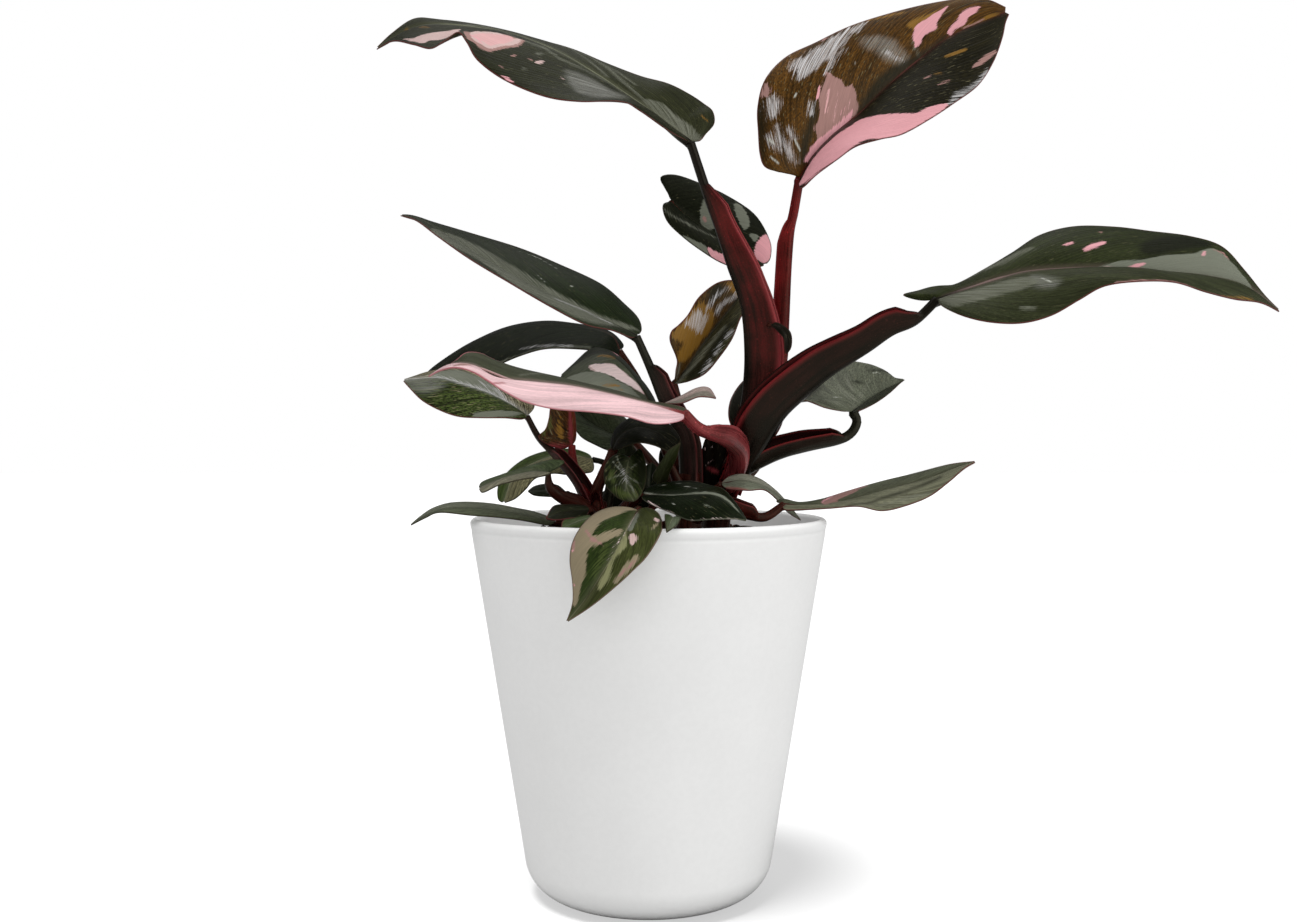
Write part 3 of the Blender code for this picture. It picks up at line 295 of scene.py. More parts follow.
        left=[(-1, -58, 165), (2.5, -61, 164), (4.5, -69, 162), (5, -77, 159), (4, -84, 156),
              (-0.5, -87, 149), (-5, -89, 144.5), (-11.5, -89, 138.5), (-20.5, -87, 131)],
        right=[(-8, -60, 165), (-13.5, -64, 165.5), (-19, -70, 164), (-24, -77, 160), (-27.5, -82, 154),
               (-28.5, -84, 147.5), (-27.5, -85, 139.5), (-27.5, -85, 132)]),
    "low_left_blade": dict(
        rib=[(-38, -18, 157), (-48.5, -19, 159.5), (-58.5, -21, 161.5), (-70.5, -23, 163),
             (-82.5, -23, 162.5), (-91, -21, 159.5), (-97.5, -20, 155.5)],
        left=[(-41, -22, 156), (-50, -26, 158), (-59.5, -29, 159.5), (-71.5, -30, 160.5), (-84, -28, 161.5),
              (-90.5, -24, 159)],
        right=[(-41.5, -12, 158.5), (-49, -11, 161), (-56.5, -12, 162.5), (-67.5, -14, 164.5),
               (-79.5, -17, 165), (-87.5, -18, 163), (-93, -19, 159.5)]),
    "small_left_blade": dict(
        rib=[(-40.5, -26, 177.5), (-46, -29, 178), (-52, -31.5, 177), (-59, -34, 175), (-67, -38, 171.5)],
        left=[(-39.5, -29, 177), (-43, -32, 176), (-50, -35, 175), (-58.5, -38, 173), (-65, -40, 170)],
        right=[(-36, -24, 180), (-34, -22, 182), (-40, -22, 182.5), (-50, -26, 179.5),
               (-59.5, -29, 176.5), (-66, -34, 174)]),
    "streaked_blade": dict(
        rib=[(-24, 4, 182.5), (-31.5, 4, 184), (-41, 2, 183.5), (-50, 0, 180), (-57, -3, 174.5),
             (-60.5, -6, 164)],
        left=[(-23, -1, 179), (-24, -4, 177), (-29, -5, 176.5), (-34, -6, 176), (-40, -7, 176.5),
              (-47, -8, 174.5), (-51, -9, 170), (-55.5, -8, 166)],
        right=[(-26, 8, 184.5), (-32.5, 9, 186.5), (-42, 8, 186), (-51.5, 6, 183), (-58.5, 3, 178),
               (-63, 0, 172), (-63, -4, 166)]),
    "crinkled_blade": dict(
        rib=[(-7.5, -30, 183.5), (-8.5, -34, 179.5), (-9, -38, 175), (-8, -42, 170.5), (-5.5, -45, 166.5)],
        left=[(-3.5, -27, 187), (-1.5, -30, 183), (-0.8, -34, 178), (-1.2, -38, 173.5), (-3, -43, 169)],
        right=[(-12.5, -30, 185), (-16.5, -31.5, 182), (-17.7, -34.5, 177.5), (-17, -38, 173),
               (-14, -41.5, 169.5), (-10, -44, 167)]),
    "curled_blade": dict(
        rib=[(6.5, -18, 205.5), (13.5, -16, 207), (20, -14, 210), (24, -13, 210.5), (28, -12, 207.5)],
        left=[(13, -14, 208.5), (20, -11, 212), (25, -11, 212)],
        right=[(13.5, -19, 205.5), (20, -17, 208), (24.5, -15, 208)]),
    "furled_blade": dict(
        rib=[(-31.8, -9, 188.5), (-31.8, -11, 194), (-32.2, -14, 200.5), (-33, -18, 208)],
        left=[(-35.5, -11, 187), (-39, -12.5, 187.5), (-43, -13, 189.5), (-45.5, -13, 192),
              (-42.5, -13, 195), (-41, -14, 199.5), (-39.5, -16, 205.5)],
        right=[(-30.3, -8.5, 191), (-30, -11, 196), (-30.5, -15, 202.5)]),
    "back_blade": dict(
        rib=[(47.5, 26, 187.5), (48, 36, 197), (49.5, 46, 206), (50, 58, 216.5)],
        left=[(40.5, 20, 189.5), (35.5, 24, 198.5), (36, 32, 207), (40.5, 44, 214.5), (46, 54, 219)],
        right=[(53, 20, 189.5), (58.5, 24, 197.5), (60, 32, 206), (57.5, 44, 214), (53.5, 54, 218.5)]),
    "pointed_blade": dict(
        rib=[(4, -28, 173), (6.5, -36, 179), (9, -44, 185), (12.5, -48, 190)],
        left=[(1.5, -29, 176), (4.5, -37, 181.5), (8, -45, 187)],
        right=[(7.5, -28, 174.5), (8.5, -35, 178), (11, -43, 184)]),
    "upright_blade": dict(
        rib=[(1.5, -22, 165.5), (0.5, -20, 172), (1.5, -17, 181.5)],
        left=[(-2.5, -21, 169.5), (-3, -19, 175), (-1.5, -18, 179.5)],
        right=[(5, -21, 169.5), (5, -19, 175), (3.5, -18, 179.5)]),
    "resting_blade": dict(
        rib=[(-35, 6, 168), (-41, 6, 169), (-46, 6, 169), (-51.5, 6, 168.5)],
        left=[(-38.5, 3, 166.5), (-44, 3, 166.5), (-48.5, 3, 167)],
        right=[(-39, 10, 171), (-44.5, 10, 171.5), (-49, 10, 170.5)]),
    "scale_blade": dict(
        rib=[(25.2, 4, 167.5), (26, 3, 176), (27, 2, 185), (27.5, 1.5, 195)],
        left=[(22.6, 4, 170.5), (22.6, 3.2, 178), (22.6, 2.2, 186), (24.5, 1.5, 192)],
        right=[(28, 3, 171), (30.5, 1.5, 178), (32.8, 0.5, 186), (31, 0.5, 192)]),
    "inner_blade": dict(
        rib=[(16, 22, 166), (14, 28, 174), (11, 31, 182), (8, 32, 189)],
        left=[(9, 26, 170), (5, 30, 178), (5, 32, 185)],
        right=[(19, 27, 170), (19, 30, 178), (14, 32, 186)]),
    "folded_blade": dict(
        rib=[(8.5, -63.5, 160.8), (9, -69.5, 162), (8.3, -75.5, 161), (6.5, -80, 157)],
        left=[(11.5, -66.5, 160.8), (12, -72, 161.8), (10.3, -77.3, 159.5)],
        right=[(6.3, -66.5, 162), (6, -72, 163.2), (6, -77, 161)]),
    "shadow_blade": dict(
        rib=[(-7, 2, 168), (-8.5, 3, 176), (-10, 4, 184), (-11, 5, 193)],
        left=[(-11.5, 1.5, 171), (-13, 2.5, 178), (-13.5, 3, 186)],
        right=[(-3, 3, 171), (-2.8, 4, 177), (-4.5, 4.5, 185)]),
    "ground_blade": dict(
        rib=[(8, 12, 163.5), (-3, 19, 166.5), (-15, 24, 166.5), (-26, 26, 163)],
        left=[(2, 14, 160.5), (-9, 19, 161.5), (-18, 22, 160.5)],
        right=[(2, 18, 168.5), (-9, 25, 171), (-19, 28, 168)]),
    "curled_scrap": dict(
        rib=[(51, -4, 238.5), (55.5, -6, 237.5), (58, -7, 232.5), (57.5, -6, 226)],
        left=[(54, -5, 239.5), (59, -7, 235.5), (59.5, -7, 229.5)],
        right=[(53.5, -6, 236), (56, -8, 232.5), (56.5, -7.5, 228)]),
    "rim_blade": dict(
        rib=[(-23.5, -34, 163), (-29, -38, 163), (-34.5, -42, 162.5), (-40, -46, 160)],
        left=[(-25, -40, 160.5), (-30.5, -45, 160), (-36, -47, 159.5)],
        right=[(-26, -32, 164.5), (-32, -34, 165), (-37.5, -38, 164.5)]),
    "edge_blade": dict(
        rib=[(-21.5, -52, 161), (-26, -56, 160), (-30, -60, 158.5), (-33, -62, 157)],
        left=[(-23, -57, 158.5), (-27, -61, 157), (-30.5, -63, 157)],
        right=[(-24, -49, 161.5), (-29, -53, 160.5), (-32.5, -57, 160)]),
}

# Each shoot: its stem from inside the soil upwards, the stem's half width, and the petiole of each blade
# as the points that its back passes. Half widths and the height of the sheath's wings run from the stem to
# the blade. The sheath ends at the given share of the petiole's length and opens the given way.
SHOOTS = {
    "main_shoot": dict(stem=[(29, 11, 136), (29, 11, 156), (33, 9, 170), (38, 6, 184)], half=6.5, petioles={
        "top_left_blade": dict(
            path=[(33, 8, 168), (41, 4, 195), (44, 4, 222), (42, 2, 245), (35, 0, 265), (30, -1, 279),
                  (24, -3, 295)],
            half=(5, 4.5, 4, 3, 2.4, 2.2), wing=(6, 10.5, 13, 10.5, 6.5, 1),
            sheath=0.88, opens=(1, -0.25, 0)),
        "top_right_blade": dict(
            path=[(35, 11, 172), (52, 11, 206), (57, 12, 225), (58, 12, 242), (60, 11, 276), (62, 9, 288)],
            half=(5, 4, 3, 2.5, 2.3), wing=4.5, sheath=0.87, opens=(-1, 0.3, 0)),
        "right_blade": dict(
            path=[(36, 4, 173), (44, -2, 188), (52, -7, 201), (60, -9, 209), (69, -12, 216), (80, -15, 223),
                  (90, -18, 229), (99, -20, 235), (108, -22, 239)],
            half=(6, 6, 5, 3, 2.2, 2.2), wing=(7, 12.5, 12, 9.5, 6), sheath=0.92, opens=(-0.5, -0.3, 0.8)),
        "pink_blade": dict(
            path=[(33, 3, 170), (37, -6, 179), (37, -14, 185), (34, -22, 189), (30, -30, 191.5),
                  (25, -37, 193), (19, -43, 195.5)],
            half=(4, 4, 3.6, 3, 2.6), wing=(3, 6, 6, 4, 2), sheath=0.8, opens=(-0.2, -0.4, 0.9)),
        "right_middle_blade": dict(
            path=[(33, 4, 170), (39, 1, 178), (50, 1, 184), (64, 0, 188), (78, 0, 190), (85, 1, 193),
                  (88, 2, 198)],
            half=(4, 4.5, 3.5, 2.2, 2), wing=6, sheath=0.8, opens=(-0.2, -0.6, 0.8)),
        "behind_blade": dict(
            path=[(36, 10, 172), (43.5, 14, 188), (48, 28, 215), (52, 50, 240), (50, 68, 263), (38, 76, 279),
                  (20, 75, 292)],
            half=(5, 4, 2.5, 2, 1.4), wing=4, sheath=0.3, opens=(0, -1, 0)),
        "back_blade": dict(
            path=[(36, 13, 170), (46, 18, 179)],
            half=(4, 3, 2)),
        "scale_blade": dict(
            path=[(29, 9, 156), (26, 6, 162)],
            half=(3, 2.4, 1.6)),
        "curled_scrap": dict(
            path=[(49.3, 0.8, 239), (50.2, -1.6, 239)],
            half=(1.4, 1.3, 1)),
    }),
    "middle_shoot": dict(stem=[(17, -4, 136), (17, -4, 158), (17, -5, 178)], half=6.0, petioles={
        "left_blade": dict(
            path=[(17, -4, 163), (16, -4, 186), (12, -5, 197), (6, -6, 208), (1, -8, 220)],
            half=(5.5, 4.5, 3, 2.2, 1.9), wing=(5, 6, 5), sheath=0.82, opens=(1, -0.3, 0)),
        "golden_blade": dict(
            path=[(18, 0, 166), (17, 8, 192), (13, 15, 207)],
            half=(4, 3, 2, 1.7), wing=3, sheath=0.3, opens=(0, -1, 0)),
        "hooded_blade": dict(
            path=[(15, 0, 166), (10, 6, 186), (4, 9, 199)],
            half=(4, 3, 2, 1.7), wing=3, sheath=0.3, opens=(0, -1, 0)),
        "low_right_blade": dict(
            path=[(19, -6, 157), (24, -12, 164), (32, -17, 163), (41, -17, 160), (48, -16, 159)],
            half=(3.5, 3.5, 3, 2.2, 1.9), wing=4.5, sheath=0.72, opens=(0, -0.2, 0.95)),
        "striped_blade": dict(
            path=[(20, -4, 160), (24, -10, 167)],
            half=(3, 2, 1.4)),
        "curled_blade": dict(
            path=[(15, -9, 166), (6, -14, 188), (3, -17, 199)],
            half=(3, 1.6, 1.2)),
        "arching_blade": dict(
            path=[(14, 1, 163), (9, 18, 184), (2, 34, 203), (-5, 40, 218)],
            half=(4, 2.6, 1.8, 1.5)),
        "shaded_blade": dict(
            path=[(14, 3, 162), (4, 14, 177), (-3, 21, 186)],
            half=(4, 2.6, 1.8)),
        "inner_blade": dict(
            path=[(17, 1, 157), (17, 12, 161)],
            half=(3, 2.4, 1.6)),
        "ground_blade": dict(
            path=[(16, 1, 157), (12.5, 7, 160.5)],
            half=(3, 2, 1.4)),
    }),
    "left_shoot": dict(stem=[(-20, -14, 136), (-20, -14, 156), (-21, -14, 166)], half=4.5, petioles={
        "speckled_blade": dict(
            path=[(-21, -15, 157), (-28, -14, 172), (-37, -12, 183), (-45, -10, 191)],
            half=(3, 2.8, 2.4, 1.5, 1.3), wing=4, sheath=0.66, opens=(0.5, -0.7, 0.4)),
        "furled_blade": dict(
            path=[(-20, -14, 157), (-27, -12, 170), (-31, -9.5, 178), (-31.8, -8.5, 184)],
            half=(3, 3.4, 2.7, 1.7)),
        "small_left_blade": dict(
            path=[(-21, -17, 157), (-29, -20, 164.5), (-36, -22, 168), (-40, -24, 172)],
            half=(4, 4.5, 3, 1.3)),
        "streaked_blade": dict(
            path=[(-19, -10, 158), (-16, -2, 172), (-18, 4, 180)],
            half=(3, 2, 1.2)),
        "tucked_blade": dict(
            path=[(-19, -14, 157), (-21.5, -15.5, 168), (-19, -17.5, 175.5), (-16.5, -19.5, 181)],
            half=(3, 2.6, 2.2, 1.8), wing=3, sheath=0.4, opens=(0, -1, 0)),
        "resting_blade": dict(
            path=[(-20, -11, 157), (-26, -2, 163)],
            half=(3, 2, 1.3)),
        "shadow_blade": dict(
            path=[(-18, -11, 157), (-11, -4, 162)],
            half=(3, 2, 1.4)),
        "low_left_blade": dict(
            path=[(-22, -15, 156), (-32, -17, 156)],
            half=(3, 2, 1.4)),
        "rim_blade": dict(
            path=[(-20, -17, 156), (-22, -25, 160)],
            half=(3, 2, 1.4)),
    }),
    "front_shoot": dict(stem=[(-5, -30, 136), (-5, -30, 154), (-5, -30, 162)], half=4.0, petioles={
        "crinkled_blade": dict(
            path=[(-6, -29, 158), (-7, -25, 168), (-8, -24, 176), (-8, -26, 181)],
            half=(3, 2, 1.3)),
        "front_blade": dict(
            path=[(-4, -31, 157), (-6, -35, 165)],
            half=(3, 2, 1.3)),
        "hanging_blade": dict(
            path=[(-5, -33, 157), (-5, -44, 161), (-4, -54, 164)],
            half=(3, 2.2, 1.5)),
        "edge_blade": dict(
            path=[(-6, -32, 157), (-13, -42, 159)],
            half=(3, 2, 1.4)),
        "pointed_blade": dict(
            path=[(-3, -30, 158), (3, -30, 166)],
            half=(3, 1.6, 1.1)),
        "upright_blade": dict(
            path=[(-3, -28, 157), (0, -24, 161)],
            half=(3, 1.6, 1.1)),
        "folded_blade": dict(
            path=[(-3, -31, 156), (2, -43, 157.5), (6, -54, 158.5)],
            half=(3, 1.6, 1.2)),
    }),
}

# Colours, as display values from 0 to 255
LEAF_RED = (112, 52, 54)
DIM_MARGIN = (54, 48, 34)
PALE_RIB = (124, 126, 104)
SPECK = (138, 132, 98)
LEAF_BACK = (70, 66, 52)
GLAZE = (243, 243, 242)
SOIL_DARK = (26, 19, 15)
SOIL_BED = (62, 42, 31)
SOIL_CRUMB = (104, 64, 40)
SOIL_FLECK = (150, 92, 50)

# Tint of the gloss on leaves and petioles, as shares of red, green and blue
GLOSS_TINT = (1.0, 0.95, 0.72)

# Noises on a blade: scale across the veins, along them and from half to half, then detail and roughness.
# In turn: streaks, fine streaks, threads, blotches, grain and specks.
LEAF_NOISES = [
    ((0.6, 0.04, 1), 3.0, 0.6),
    ((2.2, 0.14, 1), 3.0, 0.65),
    ((3.2, 0.11, 1), 2.0, 0.5),
    ((0.1, 0.06, 1), 2.0, 0.5),
    ((1.3, 1.3, 1.3), 3.0, 0.75),
    ((1.1, 0.55, 1), 1.0, 0.4),
]

# Parts of a noise's range over which a look changes
NOISE_SPAN = (0.3, 0.7)
FINE_SPAN = (0.25, 0.75)
GRAIN_SPAN = (0.35, 0.65)
SHINE_SPAN = (0.2, 0.8)
THREAD_SPAN = (0.42, 0.58)

# Veins: how many in a mm along the rib, how far streaks bend them, half their width as a share of their
# distance, where they fade in mm from the margin, and their tone
VEINS_PER_MM = 0.3
VEIN_WANDER = 0.5
VEIN_HALF_WIDTH = 0.1
VEINS_FADE = (0.5, 5)
VEIN_TONE = 1.4

# Skin of the blades. The halves' colours meet within this many mm of the rib. What is by mottle is
# multiplied by a blade's own mottle, and the specks' cover runs from no mottle to a mottle of 1.
HALVES_MEET = 0.25
BLOTCH_TONES = (0.8, 1.2)
GRAIN_BY_MOTTLE = 1.3
SPECKS_FROM = 0.74
SPECKS_FULL = 0.79
SPECKS_BY_MOTTLE = 0.14
SPECK_COVER = (0.25, 0.75)
BACK_COVER = 0.25
LEAF_ROUGHNESS = (0.28, 0.44)
UNDER_ROUGHNESS = 0.55
LEAF_BUMP = (0.4, 0.0007)
STREAK_RELIEF = 0.6
FINE_RELIEF = 0.25
VEIN_RELIEF = 0.6

# Lines along the rib and the margin: mm from it where they start and where they are full, and their cover.
# The first, wide one is a painted reflection in the rib's colour.
RIB_SHEEN = (3.0, 0.3, 0.25)
RIB_LINE = (0.5, 0.15, 0.7)
MARGIN_LINE = (0.55, 0.2, 0.8)

# How far streaks, fine streaks and grain move the edge of a mark, the tones of a mark, and how much of a
# streaky one is left between the threads
EDGE_MOVES = (3.5, 3.0, 1.6)
MARK_TONES = (0.86, 1.12)
BETWEEN_THREADS = 0.1

# What each layer of marks looks like: colour, softness of its edge in mm, how far streaks along the veins
# move its edge in mm, and how much it covers. Later layers lie over earlier ones. The reflection, glare and
# highlight layers are painted light, some specks are painted glints, and most of the dark layer is painted
# shade.
LAYERS = {
    # A painted glare: soft whitish patches of reflected light drawn into the colour
    "haze": ((178, 178, 172), 2.4, 1.2, 0.5),
    # A painted reflection: greyish-green reflected light drawn into the blade's colour
    "sheen": ((128, 130, 116), 0.9, 1.2, 0.9),
    # Greyish-green patches and lines: the leaf's own greyish parts, and a painted reflection on right_blade
    # and hooded_blade
    "grey": ((122, 126, 112), 0.3, 0.6, 0.95),
    "gold": ((146, 106, 40), 0.7, 1.4, 0.85),
    "green": ((80, 92, 46), 1.2, 2.2, 0.75),
    "khaki": ((150, 137, 112), 0.3, 0.9, 0.95),
    "olive": ((146, 147, 106), 0.3, 0.9, 0.95),
    # Mostly painted shade: darker zones where a blade turns from the light or lies under another; the thin
    # strokes in top_right_blade's blush are the leaf's own darker streaks
    "dark": ((20, 23, 14), 1.6, 1.4, 0.85),
    "blush": ((168, 128, 122), 0.2, 0.8, 0.95),
    "red": ((150, 60, 66), 0.8, 0.8, 0.85),
    "cream": ((214, 184, 180), 0.2, 0.7, 0.95),
    "rose": ((224, 172, 172), 0.3, 0.7, 0.95),
    "pink": ((230, 165, 172), 0.2, 0.7, 1.0),
    # Whitish streaks along the veins: mostly painted highlights and glints, with some of the leaf's own
    # silvery streaks
    "pale": ((222, 220, 221), 0.8, 2.0, 0.9),
    # Small white specks and strokes: some are the leaf's own specks, others painted glints of light
    "fleck": ((196, 198, 188), 0.25, 0.3, 0.9),
    "white": ((246, 222, 220), 0.25, 0.5, 0.95),
}
# These layers of painted reflection, glare and highlights break up into threads along the veins
STREAKY = ("haze", "sheen", "pale")

# Each blade's look: colour of its left half and right half, of its rib, and what differs from the rest.
LOOKS = {
    "top_left_blade": dict(left=(32, 35, 14), right=(40, 43, 22), rib=PALE_RIB),
    "top_right_blade": dict(left=(76, 48, 8), right=(23, 20, 4), rib=(92, 46, 44), mottle=0.5),
    "right_blade": dict(left=(40, 47, 21), right=(48, 53, 31), rib=(130, 108, 104)),
    "behind_blade": dict(left=(22, 26, 15), right=(20, 24, 11), rib=(50, 54, 42), margin=DIM_MARGIN),
    "golden_blade": dict(left=(74, 50, 16), right=(56, 54, 34), rib=(110, 112, 102), mottle=0.55),
    "left_blade": dict(left=(36, 42, 26), right=(23, 34, 12), rib=(96, 100, 86)),
    "arching_blade": dict(left=(16, 23, 9), right=(16, 22, 9), rib=(40, 43, 32),
                          margin=DIM_MARGIN, gloss=0.08),
    "speckled_blade": dict(left=(50, 61, 26), right=(108, 102, 80), rib=(190, 190, 186), mottle=0.85),
    "pink_blade": dict(left=(229, 193, 196), right=(60, 64, 46), rib=(190, 158, 156),
                       margin=(206, 124, 134), mottle=0.08),
    "hooded_blade": dict(left=(66, 72, 54), right=(28, 33, 18), rib=(62, 66, 52), margin=DIM_MARGIN),
    # shaded_blade's colours are much lighter than the leaf: painted light that lifts it out of the plant's
    # shade
    "shaded_blade": dict(left=(62, 70, 52), right=(60, 68, 48), rib=(70, 76, 60), margin=DIM_MARGIN),
    "tucked_blade": dict(left=(11, 13, 6), right=(11, 13, 6), rib=(36, 38, 28),
                         margin=DIM_MARGIN, gloss=0.08),
    # The light olive halves of right_middle_blade and low_right_blade are painted reflection laid over the
    # leaf's green
    "right_middle_blade": dict(left=(92, 96, 80), right=(38, 42, 28), rib=(70, 74, 60)),
    "low_right_blade": dict(left=(86, 90, 72), right=(114, 115, 94), rib=(84, 84, 68)),
    "striped_blade": dict(left=(126, 126, 112), right=(110, 114, 98), rib=(72, 76, 60)),
    "front_blade": dict(left=(16, 24, 10), right=(17, 25, 11), rib=(60, 64, 54), margin=(96, 98, 82),
                        gloss=0.08),
    "hanging_blade": dict(left=(56, 62, 28), right=(39, 54, 18), rib=(124, 122, 96), margin=(118, 96, 84)),
    "low_left_blade": dict(left=(82, 88, 68), right=(106, 110, 94), rib=(90, 94, 80), margin=DIM_MARGIN),
    "small_left_blade": dict(left=(118, 116, 98), right=(68, 80, 54), rib=(110, 110, 98), margin=DIM_MARGIN),
    "streaked_blade": dict(left=(120, 116, 86), right=(60, 78, 30), rib=(150, 154, 128),
                           margin=DIM_MARGIN, mottle=0.5),
    "crinkled_blade": dict(left=(32, 41, 16), right=(22, 30, 10), rib=(104, 108, 84),
                           margin=DIM_MARGIN, mottle=0.6),
    "curled_blade": dict(left=(150, 132, 126), right=(112, 106, 96), rib=(136, 124, 116)),
    "furled_blade": dict(left=(58, 34, 12), right=(98, 44, 26), rib=(96, 40, 34), mottle=0.6),
    "back_blade": dict(left=(22, 22, 13), right=(28, 31, 19), rib=(40, 42, 30)),
    "pointed_blade": dict(left=(56, 62, 38), right=(34, 40, 16), rib=(60, 64, 42), margin=DIM_MARGIN),
    "rim_blade": dict(left=(22, 25, 12), right=(24, 28, 13), rib=(52, 56, 38)),
    "edge_blade": dict(left=(60, 78, 36), right=(56, 74, 34), rib=(112, 118, 96)),
    "upright_blade": dict(left=(21, 29, 18), right=(17, 24, 14), rib=(46, 54, 42), margin=DIM_MARGIN),
    "resting_blade": dict(left=(60, 68, 52), right=(46, 54, 40), rib=(66, 72, 58), margin=DIM_MARGIN),
    "scale_blade": dict(left=(14, 9, 6), right=(16, 10, 7), rib=(26, 14, 11), margin=(34, 18, 15),
                        gloss=0.06),
    # inner_blade and ground_blade fill dark gaps deep in the plant; their near-black colours are painted
    # shade
    "inner_blade": dict(left=(12, 13, 7), right=(12, 13, 7), rib=(26, 24, 16),
                        margin=DIM_MARGIN, gloss=0.08),
    "shadow_blade": dict(left=(24, 31, 15), right=(17, 21, 10), rib=(40, 46, 30),
                         margin=DIM_MARGIN, gloss=0.08),
    # Near black as painted shade deep in the plant
    "ground_blade": dict(left=(14, 17, 8), right=(16, 20, 10), rib=(34, 38, 26),
                         margin=DIM_MARGIN, gloss=0.08),
    "curled_scrap": dict(left=(24, 22, 15), right=(16, 14, 9), rib=(34, 22, 18), margin=(70, 34, 32)),
    "folded_blade": dict(left=(78, 88, 68), right=(44, 58, 30), rib=(112, 116, 94), margin=DIM_MARGIN),
}

# The half of a blade on which a mark lies
LEFT = 1
RIGHT = -1
EITHER = 0
